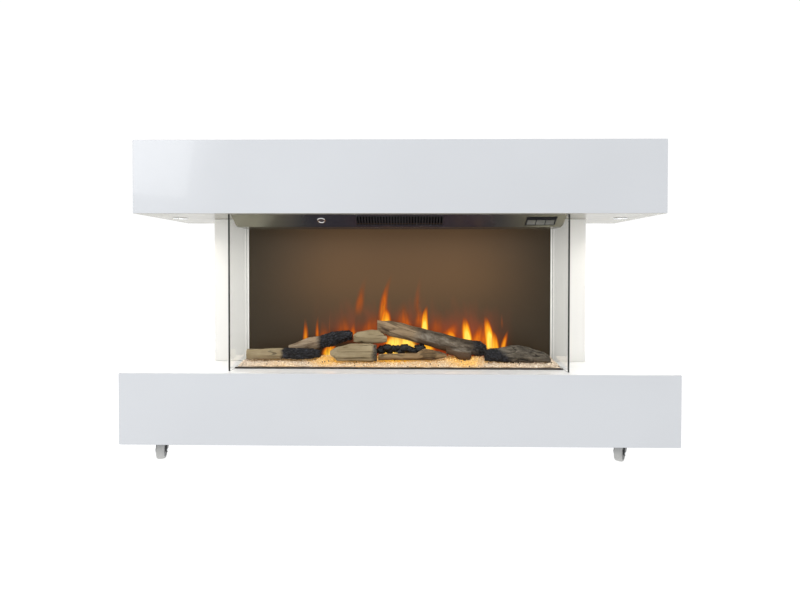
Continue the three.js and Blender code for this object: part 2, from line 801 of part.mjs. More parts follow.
// ---------------------------------------------------------------- castors

// Each castor trails along its own local -Y. Its plate doesn't turn with the fork.
function makeCastor(place, x, y, heading) {
  const { trail, wheelRadius, wheelWidth, plate, plateThickness } = CASTOR;
  const plateTop = BASE.bottom - GAP;
  const plateBottom = plateTop - plateThickness;
  const half = plate / 2;
  const flat = block(x - half, y - half, plateBottom, x + half, y + half, plateTop);
  const race = rodAlongZ(x, y, plateBottom - 2.2, plateBottom + 0.5, 12);
  add(`castor_plate_${place}`, join(flat, race), castorBlack);

  const turning = new THREE.Group();
  turning.position.set(x, y, 0);
  turning.rotation.z = heading;
  fireplace.add(turning);

  const crownTop = plateBottom - 2.2 - GAP;
  const crownBottom = wheelRadius * 2 + 1;
  const legGap = wheelWidth / 2 + 1;
  const leg = 2.4;
  const hub = 6.5;
  const legShape = [
    [11, crownTop],
    [-12, crownTop],
    [-trail - hub, wheelRadius + 3],
    [-trail - hub * 0.8, wheelRadius - 4],
    [-trail, wheelRadius - hub],
    [-trail + hub * 0.8, wheelRadius - 4],
    [11, crownBottom],
  ];
  const fork = join(
    block(-legGap - leg, -13, crownBottom, legGap + leg, 11, crownTop),
    sweepAlongX(legShape, legGap, legGap + leg),
    sweepAlongX(legShape, -legGap - leg, -legGap),
    rodAlongX(-legGap - leg - 1, legGap + leg + 1, -trail, wheelRadius, 3, 16),
  );
  add(`castor_fork_${place}`, fork, castorBlack, turning);

  // The tread is faceted, so its corners lie a little outside its radius and a flat meets the floor.
  const halfFacet = Math.PI / SIDES;
  const tread = wheelRadius / Math.cos(halfFacet);
  const w = wheelWidth / 2;
  const bore = 3.4;
  const dish = 1.6;
  const profile = [
    [bore, -w],
    [7, -w],
    [8, -w + dish],
    [tread - 4, -w + dish],
    [tread - 2.5, -w],
    [tread, -w + 4],
    [tread, w - 4],
    [tread - 2.5, w],
    [tread - 4, w - dish],
    [8, w - dish],
    [7, w],
    [bore, w],
    [bore, -w],
  ];
  const points = profile.map(([r, h]) => new THREE.Vector2(r, h));
  const wheel = new THREE.LatheGeometry(points, SIDES, halfFacet);
  wheel.rotateZ(-Math.PI / 2).translate(0, -trail, wheelRadius);
  add(`castor_wheel_${place}`, wheel, wheelGrey, turning);
}

// ---------------------------------------------------------------- assembly

makeBoxes();
makeColumn(-1, "column_left_wing");
makeColumn(1, "column_right_wing");
makeSideGlass(-1, "left_side_glass");
makeSideGlass(1, "right_side_glass");
makeScreen();
makeCase();
makeRearCover();
makeInlet();

const face = makeFascia();
makeGrille(face);
makeReceiver(face);
makeSwitches(face);

makeTray();
makeBed();
makeLogs();
makeRotor();
makeLampBoards();

makeBlower();
makeHeater();
makeControlBoard();
makeDownlight(-1, "downlight_left");
makeDownlight(1, "downlight_right");

const degrees = THREE.MathUtils.degToRad;
makeCastor("front_left", CASTOR.leftX, CASTOR.frontY, degrees(13));
makeCastor("front_right", CASTOR.rightX, CASTOR.frontY, degrees(-36));
makeCastor("rear_left", CASTOR.leftX, CASTOR.rearY, degrees(28));
makeCastor("rear_right", CASTOR.rightX, CASTOR.rearY, degrees(-14));

export default fireplace;
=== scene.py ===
import json
import math
import random

import bpy
from mathutils import Matrix, Vector, noise


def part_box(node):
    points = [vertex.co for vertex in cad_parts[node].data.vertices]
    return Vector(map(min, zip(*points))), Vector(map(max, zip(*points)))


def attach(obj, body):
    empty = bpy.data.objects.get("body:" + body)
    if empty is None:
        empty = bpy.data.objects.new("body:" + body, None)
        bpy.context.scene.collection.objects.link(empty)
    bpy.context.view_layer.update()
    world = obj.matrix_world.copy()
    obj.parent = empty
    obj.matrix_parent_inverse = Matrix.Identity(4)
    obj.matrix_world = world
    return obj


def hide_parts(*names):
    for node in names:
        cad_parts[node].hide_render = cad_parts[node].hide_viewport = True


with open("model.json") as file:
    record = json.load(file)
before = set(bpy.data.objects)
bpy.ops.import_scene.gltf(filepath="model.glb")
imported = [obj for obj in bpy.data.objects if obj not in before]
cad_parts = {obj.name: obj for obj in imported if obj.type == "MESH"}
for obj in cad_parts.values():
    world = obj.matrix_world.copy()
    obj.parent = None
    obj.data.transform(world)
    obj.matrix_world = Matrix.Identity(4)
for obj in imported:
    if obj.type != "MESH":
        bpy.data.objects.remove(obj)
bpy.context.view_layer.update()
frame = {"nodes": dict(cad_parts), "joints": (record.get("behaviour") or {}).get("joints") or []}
nodes = frame["nodes"]

# Without a seed, noise.noise_vector differs from run to run.
noise.seed_set(11)

MM = 0.001
CORNERS = ("front_left", "front_right", "rear_left", "rear_right")
BOARDS = ("top_panel", "bottom_panel", "front_panel", "back_panel", "left_end", "right_end")
ROCKERS = ("rocker_power", "rocker_low_heat", "rocker_high_heat")


# ---- node materials


class Finish:
    """A node material built with short calls. Patterns are laid out in metres."""

    def __init__(self, name, **constants):
        self.material = bpy.data.materials.new(name)
        self.material.use_nodes = True
        self.tree = self.material.node_tree
        self.shader = self.tree.nodes["Principled BSDF"]
        self.place = self.node("TexCoord").outputs["Object"]
        for socket, value in constants.items():
            self.put(socket.replace("_", " "), value)

    def node(self, kind, **settings):
        made = self.tree.nodes.new(f"ShaderNode{kind}")
        for key, value in settings.items():
            setattr(made, key, value)
        return made

    def feed(self, socket, value):
        """Links a socket to another node's output, or sets a constant on it."""
        if isinstance(value, bpy.types.NodeSocket):
            self.tree.links.new(value, socket)
        else:
            if isinstance(value, tuple) and len(value) == 3 and socket.type == "RGBA":
                value = (*value, 1.0)
            socket.default_value = value

    def feed_each(self, node, sockets, values):
        for socket, value in zip(sockets, values):
            self.feed(node.inputs[socket], value)

    def put(self, name, value):
        self.feed(self.shader.inputs[name], value)

    def colour(self, value):
        self.put("Base Color", value)

    def rough(self, value):
        self.put("Roughness", value)

    def stretched(self, scale):
        mapping = self.node("Mapping")
        self.feed(mapping.inputs["Vector"], self.place)
        mapping.inputs["Scale"].default_value = scale
        return mapping.outputs["Vector"]

    def lean(self, slope):
        """Lays the patterns along a log that rises by this slope towards +X."""
        x, y, z = self.axes()
        joined = self.node("CombineXYZ")
        self.feed_each(joined, "XYZ", (x, y, self.minus(z, self.times(x, slope))))
        self.place = joined.outputs[0]

    def noise(self, scale, detail=3.0, rough=0.5, stretch=None, distortion=0.0):
        made = self.node("TexNoise")
        self.feed(made.inputs["Vector"], self.stretched(stretch) if stretch else self.place)
        sockets = ("Scale", "Detail", "Roughness", "Distortion")
        self.feed_each(made, sockets, (scale, detail, rough, distortion))
        return made.outputs["Fac"]

    def cells(self, scale, feature="F1", output="Distance"):
        made = self.node("TexVoronoi", feature=feature)
        self.feed(made.inputs["Vector"], self.place)
        made.inputs["Scale"].default_value = scale
        return made.outputs[output]

    def attribute(self, name):
        return self.node("Attribute", attribute_name=name).outputs["Fac"]

    def axes(self, vector=None):
        split = self.node("SeparateXYZ")
        self.feed(split.inputs[0], vector or self.place)
        return split.outputs

    def maths(self, operation, a, b=0.0, clamp=False):
        made = self.node("Math", operation=operation, use_clamp=clamp)
        self.feed_each(made, (0, 1), (a, b))
        return made.outputs[0]

    def plus(self, a, b, clamp=False):
        return self.maths("ADD", a, b, clamp)

    def minus(self, a, b):
        return self.maths("SUBTRACT", a, b)

    def times(self, a, b, clamp=False):
        return self.maths("MULTIPLY", a, b, clamp)

    def fade(self, value, start, end, low=0.0, high=1.0):
        """A smooth change from low at start to high at end."""
        made = self.node("MapRange", interpolation_type="SMOOTHSTEP")
        sockets = ("Value", "From Min", "From Max", "To Min", "To Max")
        self.feed_each(made, sockets, (value, start, end, low, high))
        return made.outputs[0]

    def mix(self, factor, a, b, blend="MIX"):
        made = self.node("Mix", data_type="RGBA", blend_type=blend)
        self.feed_each(made, (0, 6, 7), (factor, a, b))
        return made.outputs[2]

    def ramp(self, factor, *stops):
        made = self.node("ValToRGB")
        elements = made.color_ramp.elements
        while len(elements) < len(stops):
            elements.new(0.5)
        for element, (position, colour) in zip(elements, stops):
            element.position = position
            element.color = (*colour, 1.0)
        self.feed(made.inputs[0], factor)
        return made.outputs[0]

    def between(self, factor, low, high):
        """A ramp from one colour to another across the usual range of a noise."""
        return self.ramp(factor, (0.3, low), (0.7, high))

    def bump(self, height, distance, strength=1.0):
        made = self.node("Bump")
        made.inputs["Strength"].default_value = strength
        made.inputs["Distance"].default_value = distance
        self.feed(made.inputs["Height"], height)
        self.put("Normal", made.outputs["Normal"])


def make_lacquer(name, colour, coat=0.35, gloss=0.5):
    """White lacquer: faint orange peel, a slow drift in tone and a little haze."""
    f = Finish(name, Coat_Weight=coat, Coat_Roughness=0.04, Specular_IOR_Level=gloss)
    cloud = f.noise(3.2, detail=2)
    pale = tuple(1.03 * c for c in colour)
    f.colour(f.ramp(cloud, (0.35, colour), (0.65, pale)))
    f.rough(f.fade(f.noise(24, detail=3), 0.3, 0.7, 0.16, 0.24))
    f.bump(f.noise(260, detail=2), 0.00002, 0.5)
    return f.material


def make_glass():
    """Clear toughened glass. Its ground edges look dark."""
    f = Finish("side_glass", IOR=1.3)
    face = f.node("NewGeometry").outputs["Normal"]
    across = f.maths("ABSOLUTE", f.axes(face)["X"])
    pane = f.maths("GREATER_THAN", across, 0.7)
    film = f.noise(18, detail=4)
    edge = f.between(film, (0.024, 0.026, 0.023), (0.040, 0.043, 0.038))
    clear = f.between(film, (0.968, 0.975, 0.970), (0.984, 0.990, 0.986))
    f.colour(f.mix(pane, edge, clear))
    f.put("Transmission Weight", pane)
    smear = f.fade(film, 0.55, 0.8, 0.0, 0.02)
    f.rough(f.plus(smear, f.fade(pane, 0.0, 1.0, 0.18, 0.0)))
    return f.material


def make_screen():
    """Smoked flame screen with a red haze low down. Its base colour is painted lamp light: brown over
    the lamps, darker to the sides, low down and towards the top.
    """
    f = Finish("smoked_screen", Roughness=0.45, Specular_IOR_Level=0.12, Emission_Strength=1.0)
    x, _, z = f.axes()
    lamp_middle = 0.01
    side = f.maths("ABSOLUTE", f.minus(x, lamp_middle))
    # The glow mask follows the lamps behind the screen: strongest over their middle, weaker low down, to
    # the sides and towards the top. It drives the emission and also the base colour.
    glow = f.times(f.fade(side, 0.12, 0.40, 1.0, 0.0), f.fade(z, 0.24, 0.42, 0.25, 1.0))
    glow = f.times(glow, f.fade(z, 0.45, 0.56, 1.0, 0.72))
    mottle = f.noise(5, detail=3, stretch=(1.0, 1.0, 0.6))
    # Lighter brown base colour where the glow mask is high: painted lamp light.
    base = f.mix(glow, (0.036, 0.028, 0.018), (0.066, 0.0395, 0.0195))
    shade = f.between(mottle, (0.88, 0.88, 0.90), (1.0, 1.0, 1.0))
    f.colour(f.mix(1.0, base, shade, "MULTIPLY"))

    tongues = f.noise(1.0, detail=3, stretch=(26.0, 1.0, 7.0), distortion=0.4)
    reach = f.plus(z, f.times(tongues, -0.13))
    haze = f.fade(reach, 0.165, 0.292, 1.0, 0.0)
    window = f.times(f.fade(x, -0.23, -0.10), f.fade(x, 0.20, 0.285, 1.0, 0.0))
    haze = f.times(haze, window)
    behind_logs = f.times(f.fade(x, -0.12, -0.06, 1.0, 0.0), f.fade(z, 0.245, 0.275, 1.0, 0.0))
    haze = f.times(haze, f.minus(1.0, behind_logs))
    warm = f.mix(glow, (0.008, 0.005, 0.0025), (0.060, 0.031, 0.013))
    f.put("Emission Color", f.mix(haze, warm, (0.26, 0.030, 0.004)))
    return f.material


def make_steel(name, colour, spangle=True):
    """Zinc-coated sheet: crystal spangle, or plain rolled metal with drawn streaks."""
    f = Finish(name, Metallic=0.9)
    dark = tuple(c * 0.78 for c in colour)
    if spangle:
        grain = f.cells(140, output="Color")
        tone = f.noise(40, detail=2)
        grain = f.plus(f.times(grain, 0.5), f.times(tone, 0.5))
    else:
        grain = f.noise(9, detail=5, stretch=(1.0, 60.0, 60.0))
    f.colour(f.ramp(grain, (0.25, dark), (0.75, colour)))
    f.rough(f.fade(grain, 0.2, 0.8, 0.28, 0.46))
    f.bump(grain, 0.00004, 0.4)
    return f.material


def make_tray():
    """Bare rolled steel on top of the rims; the faces that look forwards are dark."""
    f = Finish("tray_metal", Metallic=0.55)
    rolled = f.noise(9, detail=5, stretch=(60.0, 1.0, 60.0))
    bare = f.ramp(rolled, (0.25, (0.34, 0.34, 0.33)), (0.75, (0.50, 0.50, 0.49)))
    lip = f.ramp(rolled, (0.25, (0.035, 0.028, 0.022)), (0.75, (0.06, 0.05, 0.04)))
    facing = f.axes(f.node("NewGeometry").outputs["Normal"])["Y"]
    f.colour(f.mix(f.fade(facing, -0.75, -0.35, 1.0, 0.0), bare, lip))
    f.rough(f.fade(rolled, 0.2, 0.8, 0.34, 0.5))
    return f.material


def make_fascia():
    """Polished dark metal with a hint of brushing along its length, and a painted reflection that turns
    it lighter tan towards both ends.
    """
    f = Finish("dark_fascia", Metallic=0.65)
    brushed = f.noise(6, detail=5, stretch=(1.0, 90.0, 90.0))
    wipe = f.noise(11, detail=3)
    # Lighter tan towards both ends, dark bluish in the middle: painted reflection of the white surround
    # at the ends.
    ends = f.between(brushed, (0.215, 0.205, 0.150), (0.25, 0.24, 0.178))
    middle = f.between(brushed, (0.052, 0.056, 0.080), (0.064, 0.068, 0.092))
    off_centre = f.maths("ABSOLUTE", f.axes()["X"])
    f.colour(f.mix(f.fade(off_centre, 0.17, 0.34), middle, ends))
    f.rough(f.fade(wipe, 0.3, 0.7, 0.17, 0.25))
    f.bump(brushed, 0.00001, 0.3)
    return f.material


def make_plastic(name, colour, rough=0.42, grain=700, light=1.5, gloss=0.5):
    """Moulded plastic with a fine spark-eroded grain."""
    f = Finish(name, Specular_IOR_Level=gloss)
    pores = f.noise(grain, detail=2)
    wipe = f.noise(22, detail=3)
    pale = tuple(min(1.0, c * light) for c in colour)
    f.colour(f.ramp(wipe, (0.25, colour), (0.8, pale)))
    f.rough(f.fade(wipe, 0.3, 0.7, rough - 0.07, rough + 0.07))
    f.bump(pores, 0.00005, 0.35)
    return f.material


def make_chrome():
    f = Finish("chrome_ring", Metallic=1.0)
    wipe = f.noise(60, detail=3)
    f.colour(f.between(wipe, (0.78, 0.80, 0.82), (0.88, 0.89, 0.9)))
    f.rough(f.fade(wipe, 0.3, 0.7, 0.05, 0.13))
    return f.material


def make_board():
    """Green circuit board with copper tracks under its coating."""
    f = Finish("circuit_board")
    tracks = f.cells(160, feature="DISTANCE_TO_EDGE")
    lines = f.fade(tracks, 0.02, 0.05, 1.0, 0.0)
    mask = f.noise(30, detail=2)
    green = f.between(mask, (0.012, 0.075, 0.035), (0.02, 0.11, 0.05))
    f.colour(f.mix(f.times(lines, 0.5), green, (0.06, 0.22, 0.08)))
    f.rough(f.fade(lines, 0.0, 1.0, 0.32, 0.42))
    f.bump(lines, 0.00005, 0.5)
    return f.material


def make_ribbon():
    """Resistance ribbon with the straw and blue tints of heat."""
    f = Finish("heater_ribbon", Metallic=0.9)
    tint = f.noise(45, detail=3)
    blue, straw, tan = (0.22, 0.2, 0.22), (0.36, 0.31, 0.26), (0.45, 0.33, 0.2)
    f.colour(f.ramp(tint, (0.3, blue), (0.5, straw), (0.7, tan)))
    f.rough(f.fade(tint, 0.3, 0.7, 0.32, 0.5))
    return f.material


def make_lens(strength):
    """Frosted lamp lens, lit from inside."""
    f = Finish("lamp_lens", Roughness=0.35)
    frost = f.noise(900, detail=2)
    glow = f.between(frost, (1.0, 0.93, 0.78), (1.0, 0.97, 0.88))
    f.colour(glow)
    f.put("Emission Color", glow)
    f.put("Emission Strength", strength)
    return f.material


def make_crystal():
    """Frosted glass crystals: milky, warm where the ember lamps show through, with dark specks."""
    f = Finish("ember_crystal", Emission_Strength=1.0)
    tone = f.attribute("tone")
    lit = f.attribute("lit")
    milky = f.ramp(
        tone,
        (0.0, (0.10, 0.07, 0.05)),
        (0.07, (0.34, 0.25, 0.18)),
        (0.2, (0.55, 0.465, 0.375)),
        (0.6, (0.68, 0.60, 0.49)),
        (1.0, (0.82, 0.77, 0.685)),
    )
    # The base colour is warmed where the ember lamps shine, as well as glowing: painted lamp light.
    warmth = f.fade(lit, 0.25, 0.9)
    milky = f.mix(warmth, milky, f.mix(1.0, milky, (0.82, 0.70, 0.38), "MULTIPLY"))
    frost = f.noise(500, detail=2)
    f.colour(f.mix(f.times(frost, 0.12), milky, (0.98, 0.95, 0.92)))
    glow = f.ramp(
        lit,
        (0.0, (0.03, 0.017, 0.007)),
        (0.35, (0.22, 0.125, 0.02)),
        (0.7, (0.52, 0.28, 0.015)),
        (1.0, (0.95, 0.58, 0.03)),
    )
    f.put("Emission Color", f.mix(1.0, glow, milky, "MULTIPLY"))
    f.rough(f.fade(frost, 0.3, 0.7, 0.16, 0.34))
    f.bump(frost, 0.0001, 0.4)
    return f.material


def make_flame():
    """Light on the screen. u runs across a tongue, v up it; heat and strength belong to each one."""
    f = Finish("flame_light", Roughness=0.6, Specular_IOR_Level=0.0, Emission_Strength=1.0)
    f.colour((0.0, 0.0, 0.0))
    u, v, _ = f.axes(f.node("TexCoord").outputs["UV"])
    heat = f.attribute("hotness")
    strength = f.attribute("strength")
    wisps = f.noise(1.0, detail=3, stretch=(130.0, 1.0, 20.0), distortion=0.8)
    across = f.maths("ABSOLUTE", f.minus(u, 0.5))
    ragged = f.times(f.minus(wisps, 0.46), f.times(v, 0.42))
    across = f.plus(across, ragged)
    core = f.fade(across, 0.10, 0.5, 1.0, 0.30)
    height = f.fade(v, 0.12, 1.05, 1.0, 0.20)
    warmth = f.times(f.times(core, height), heat)
    warmth = f.plus(warmth, f.times(f.minus(wisps, 0.5), 0.22))
    colour = f.ramp(
        warmth,
        (0.0, (0.36, 0.13, 0.07)),
        (0.15, (0.38, 0.095, 0.026)),
        (0.35, (0.72, 0.135, 0.010)),
        (0.58, (1.05, 0.34, 0.015)),
        (0.85, (1.25, 0.60, 0.035)),
        (1.0, (1.45, 0.88, 0.13)),
    )
    f.put("Emission Color", colour)
    edge = f.fade(heat, 0.2, 1.0, 0.0, 0.26)
    soft = f.fade(across, edge, 0.5, 1.0, 0.0)
    tip = f.fade(v, f.fade(heat, 0.2, 1.0, 0.25, 0.6), 1.0, 1.0, 0.0)
    foot = f.fade(v, 0.0, f.fade(heat, 0.2, 0.8, 0.45, 0.14), 0.0, 1.0)
    alpha = f.times(f.times(soft, tip), f.times(foot, strength))
    alpha = f.times(alpha, f.fade(wisps, 0.25, 0.6, 0.55, 1.0), clamp=True)
    f.put("Alpha", alpha)
    return f.material


def make_log(name, pale, mid, dark, grain=(10.0, 150.0, 150.0), slope=0.0, hollow_shade_floor=0.45):
    """Painted ceramic wood. Depth is the height of the carved surface; it darkens the hollows with
    painted shade and lightens the ridges with a painted highlight. The rest are zones.
    """
    f = Finish(name, Specular_IOR_Level=0.25)
    f.lean(slope)
    names = ("depth", "charring", "underside", "painted_shade", "ashen")
    depth, char, brown, painted_shade, ashen = (f.attribute(name) for name in names)
    fibres = f.noise(1.0, detail=5, rough=0.65, stretch=grain, distortion=0.3)
    blotch = f.noise(38, detail=4, rough=0.6)
    wood = f.ramp(fibres, (0.34, dark), (0.47, mid), (0.66, pale))
    stain = f.ramp(blotch, (0.3, (0.78, 0.75, 0.70)), (0.62, (1.0, 1.0, 1.0)))
    wood = f.mix(0.75, wood, stain, "MULTIPLY")
    mottle = f.noise(1.0, detail=5, rough=0.65, stretch=(34.0, 80.0, 80.0))
    grey = f.ramp(
        mottle,
        (0.36, (0.06, 0.047, 0.034)),
        (0.5, (0.145, 0.118, 0.088)),
        (0.64, (0.26, 0.23, 0.185)),
    )
    wood = f.mix(ashen, wood, grey)
    umber = f.between(fibres, (0.062, 0.038, 0.022), (0.11, 0.07, 0.042))
    wood = f.mix(brown, wood, umber)
    # Multiplies the wood darker where the zone below is high: painted shade low on each log near the
    # bed, and along the main log's top edge.
    wood = f.mix(painted_shade, wood, f.mix(1.0, wood, (0.42, 0.38, 0.33), "MULTIPLY"))
    soot = f.ramp(
        f.noise(150, detail=4, rough=0.7),
        (0.34, (0.006, 0.006, 0.007)),
        (0.54, (0.017, 0.017, 0.020)),
        (0.66, (0.045, 0.048, 0.062)),
        (0.78, (0.12, 0.125, 0.15)),
    )
    body = f.mix(char, wood, soot)
    # Darker in the carved hollows and in the char's cracks: painted shade. The last argument sets how
    # dark the hollows of uncharred wood get.
    sunk = f.fade(depth, 0.05, 0.5, 0.0, 1.0)
    sunk = f.plus(sunk, f.fade(char, 0.0, 1.0, hollow_shade_floor, 0.22), clamp=True)
    painted_hollow_shade = f.node("CombineColor")
    f.feed_each(painted_hollow_shade, ("Red", "Green", "Blue"), (sunk, sunk, sunk))
    body = f.mix(1.0, body, painted_hollow_shade.outputs[0], "MULTIPLY")
    # The ridges are lightened towards pale wood, or pale grey on char: painted highlight.
    painted_ridge_highlight = f.times(f.fade(depth, 0.72, 1.0), 0.28)
    f.colour(f.mix(painted_ridge_highlight, body, f.mix(char, pale, (0.075, 0.08, 0.095))))
    f.rough(f.fade(char, 0.0, 1.0, 0.78, 0.5))
    f.bump(f.plus(fibres, f.noise(420, detail=3)), 0.0004, 0.55)
    return f.material


def make_floor():
    f = Finish("pale_floor", Roughness=0.7)
    cloud = f.noise(1.5, detail=3)
    f.colour(f.between(cloud, (0.15, 0.15, 0.15), (0.17, 0.17, 0.17)))
    f.put("Emission Color", f.between(cloud, (0.95, 0.95, 0.95), (0.97, 0.97, 0.97)))
    f.put("Emission Strength", 0.97)
    return f.material


LACQUER = make_lacquer("white_lacquer", (0.585, 0.605, 0.635))
# A lighter, warmer copy of the white lacquer for the column wings: painted light from the warm
# downlights.
LIT_WING_LACQUER = make_lacquer("white_lacquer_wing_painted_light", (0.855, 0.845, 0.81), coat=0.1)
# A brighter copy of the white lacquer for the base's top panel: painted light from above.
LIT_TOP_LACQUER = make_lacquer("white_lacquer_top_painted_light", (0.88, 0.885, 0.895), coat=0.1)
# A darker, warmer copy of the white lacquer for the mantel's underside: painted shade.
SHADED_UNDERSIDE_LACQUER = make_lacquer("white_lacquer_underside_painted_shade", (0.36, 0.35, 0.30), coat=0.0, gloss=0.1)
GALVANISED = make_steel("galvanised_steel", (0.55, 0.56, 0.58))
TRAY_STEEL = make_tray()
FOIL = make_steel("rotor_foil", (0.84, 0.84, 0.85), spangle=False)
BLACK = make_plastic("black_plastic", (0.006, 0.006, 0.007), rough=0.5, gloss=0.16)
GRILLE = make_plastic("black_plastic_grille", (0.011, 0.012, 0.016), rough=0.4, light=1.3, gloss=0.4)
ROCKER = make_plastic("rocker_plastic", (0.10, 0.098, 0.084), rough=0.2, grain=900, light=1.2, gloss=0.6)
CHROME = make_chrome()
CASTOR_BLACK = make_plastic("castor_black_metal", (0.016, 0.016, 0.017), rough=0.35, grain=300)
WHEEL = make_plastic("castor_wheel_grey", (0.40, 0.40, 0.39), rough=0.45, grain=500, light=1.25)


# ---- mesh helpers


def add(name, data):
    """Puts a new object in the scene."""
    made = bpy.data.objects.new(name, data)
    bpy.context.scene.collection.objects.link(made)
    return made


def new_object(name, mesh, material, body):
    """A visible piece that moves with its body."""
    made = add(name, mesh)
    made.data.materials.append(material)
    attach(made, body)
    return made


def mesh_from(name, vertices, faces, smooth=True):
    mesh = bpy.data.meshes.new(name)
    mesh.from_pydata([tuple(v) for v in vertices], [], faces)
    mesh.update()
    if smooth:
        mesh.shade_smooth()
    return mesh


def store(mesh, name, values):
    """Keeps a number for each point, which the node materials read by name."""
    mesh.attributes.new(name, "FLOAT", "POINT").data.foreach_set("value", values)


def grid_faces(rows, columns):
    """Faces of a grid whose points were written out row by row."""
    width = columns + 1
    starts = [row * width + column for row in range(rows) for column in range(columns)]
    return [(a, a + 1, a + width + 1, a + width) for a in starts]


def ring_faces(rings, sides, closed=False):
    """Faces between rings of points. Closed joins the last ring to the first."""
    faces = []
    for ring in range(rings if closed else rings - 1):
        here = ring * sides
        there = (ring + 1) % rings * sides
        for i in range(sides):
            j = (i + 1) % sides
            faces.append((here + i, here + j, there + j, there + i))
    return faces


def turned(profile, sides, place, closed=False):
    """Points and faces of a profile of (radius, height) turned about local Z, then placed."""
    vertices = []
    for radius, height in profile:
        for i in range(sides):
            angle = 2 * math.pi * i / sides
            point = Vector((radius * math.cos(angle), radius * math.sin(angle), height))
            vertices.append(place @ point)
    return vertices, ring_faces(len(profile), sides, closed)


def turned_piece(name, profile, place, material, body, slot=None, sides=48, closed=False):
    mesh = mesh_from(name, *turned(profile, sides, place, closed))
    return new_object(name, mesh, material, body)


def outline_of(radius, *points):
    """A profile from fractions of a radius and heights in millimetres."""
    return [(radius * across, height * MM) for across, height in points]


def quarter_turn(steps):
    """Angles from 0 to 90 degrees, for a domed profile."""
    return [math.pi / 2 * i / steps for i in range(steps + 1)]


class Parts:
    """Gathers several shapes into one mesh."""

    def __init__(self):
        self.vertices, self.faces = [], []

    def take(self, vertices, faces):
        start = len(self.vertices)
        self.vertices.extend(vertices)
        self.faces.extend(tuple(start + i for i in face) for face in faces)

    def mesh(self, name, smooth=True):
        return mesh_from(name, self.vertices, self.faces, smooth)


def weld(piece):
    """Joins the corners of a CAD mesh, which comes in with them split."""
    piece.modifiers.new("weld", "WELD").merge_threshold = 0.02 * MM


def soften(name, width, segments=2):
    """Rounds the edges of a CAD node."""
    node = nodes[name]
    weld(node)
    edges = node.modifiers.new("edges", "BEVEL")
    edges.width = width
    edges.segments = segments
    edges.limit_method = "ANGLE"
    edges.angle_limit = math.radians(28)


def paint(name, material):
    slots = nodes[name].data.materials
    slots.clear()
    slots.append(material)


def ease(value, start, end):
    """A smooth change from 0 at start to 1 at end."""
    t = min(1.0, max(0.0, (value - start) / (end - start)))
    return t * t * (3 - 2 * t)


# ---- finishes on the CAD nodes


def finish_nodes():
    board_edge = 1.1 * MM
    for box in ("base", "mantel"):
        for board in BOARDS:
            paint(f"{box}_{board}", LACQUER)
            soften(f"{box}_{board}", board_edge, 3)
    # The mantel's underside takes the darker copy of the lacquer: painted shade.
    paint("mantel_bottom_panel", SHADED_UNDERSIDE_LACQUER)
    # The base's top panel takes the brighter copy of the lacquer: painted light from above.
    paint("base_top_panel", LIT_TOP_LACQUER)
    glass = make_glass()
    for side in ("left", "right"):
        # The wings take the lighter, warmer copy of the lacquer: painted light from the downlights.
        paint(f"column_{side}_wing", LIT_WING_LACQUER)
        soften(f"column_{side}_wing", board_edge, 3)
        paint(f"{side}_side_glass", glass)
        nodes[f"{side}_side_glass"].visible_shadow = False
    paint("flame_screen", make_screen())
    paint("fascia_panel", make_fascia())
    plans = (
        (("fire_case", "rear_cover", "blower_housing"), GALVANISED),
        (("outlet_grille",), GRILLE),
        (("switch_bezel", "power_inlet"), BLACK),
        (("rotor_motor", "blower_motor", "blower_impeller"), BLACK),
        (("flame_rotor",), FOIL),
        (("fuel_tray",), TRAY_STEEL),
        (("flame_lamp_board", "ember_lamp_board", "control_board"), make_board()),
        (("heating_element",), make_ribbon()),
        (ROCKERS, ROCKER),
    )
    for names, material in plans:
        for name in names:
            paint(name, material)
    edges = (
        (("fascia_panel", *ROCKERS), 0.5 * MM),
        (("outlet_grille", "switch_bezel"), 0.35 * MM),
        (("power_inlet", "fuel_tray"), 0.4 * MM),
    )
    for names, width in edges:
        for name in names:
            soften(name, width)
    for corner in CORNERS:
        for part in ("plate", "fork"):
            paint(f"castor_{part}_{corner}", CASTOR_BLACK)
            soften(f"castor_{part}_{corner}", 0.6 * MM)


# ---- logs


# Depth of the char's cracks and of the broad hollows that every log has, in millimetres.
CHAR_RELIEF = 2.0
BROAD_RELIEF = 1.9


def char_cracks(point):
    """Height of charred wood: small blocks, longer along the log, between deep cracks."""
    stretched = Vector((point.x * 105, point.y * 175, point.z * 175))
    stretched += noise.noise_vector(point * 110) * 0.45
    near = noise.voronoi(stretched)[0]
    crack = ease(near[1] - near[0], 0.0, 0.30)
    return -1.0 + crack * (1.1 + 0.6 * noise.noise(point * 260))


def grain(point, x, y, z, shift=(0, 0, 0)):
    """Noise with its own scale along each axis."""
    return noise.noise(Vector((point.x * x, point.y * y, point.z * z)) + Vector(shift))


def bark_plates(point):
    """Height of bark: long plates with cracks between them, split again into strands."""
    folded = grain(point, 20, 70, 70)
    minor = grain(point, 48, 170, 170, (5, 2, 9))
    plates = ease(abs(folded), 0.0, 0.15)
    strands = ease(abs(minor), 0.0, 0.2)
    return -1.25 + 1.25 * plates + 0.6 * strands + 0.45 * noise.noise(point * 110)


def split_face(point):
    """Height of split wood: fibres and a few long splits over soft hollows."""
    fibres = grain(point, 12, 170, 170)
    hollows = grain(point, 26, 60, 60)
    folded = grain(point, 13, 52, 78, (8, 1, 6))
    splits = ease(0.10 - abs(folded), 0.0, 0.10) * ease(hollows, 0.1, -0.15)
    return 0.5 * fibres + 0.7 * hollows - 1.3 * splits


def weathered_grain(point):
    """Height of weathered wood: long open grain lines along the log."""
    wave = grain(point, 7, 36, 80)
    finer = grain(point, 11, 60, 130, (7, 3, 5))
    lines = ease(0.15 - abs(wave), 0.0, 0.15) + 0.5 * ease(0.16 - abs(finer), 0.0, 0.16)
    return split_face(point) * 0.7 - 0.9 * lines


def nowhere(point):
    return 0.0
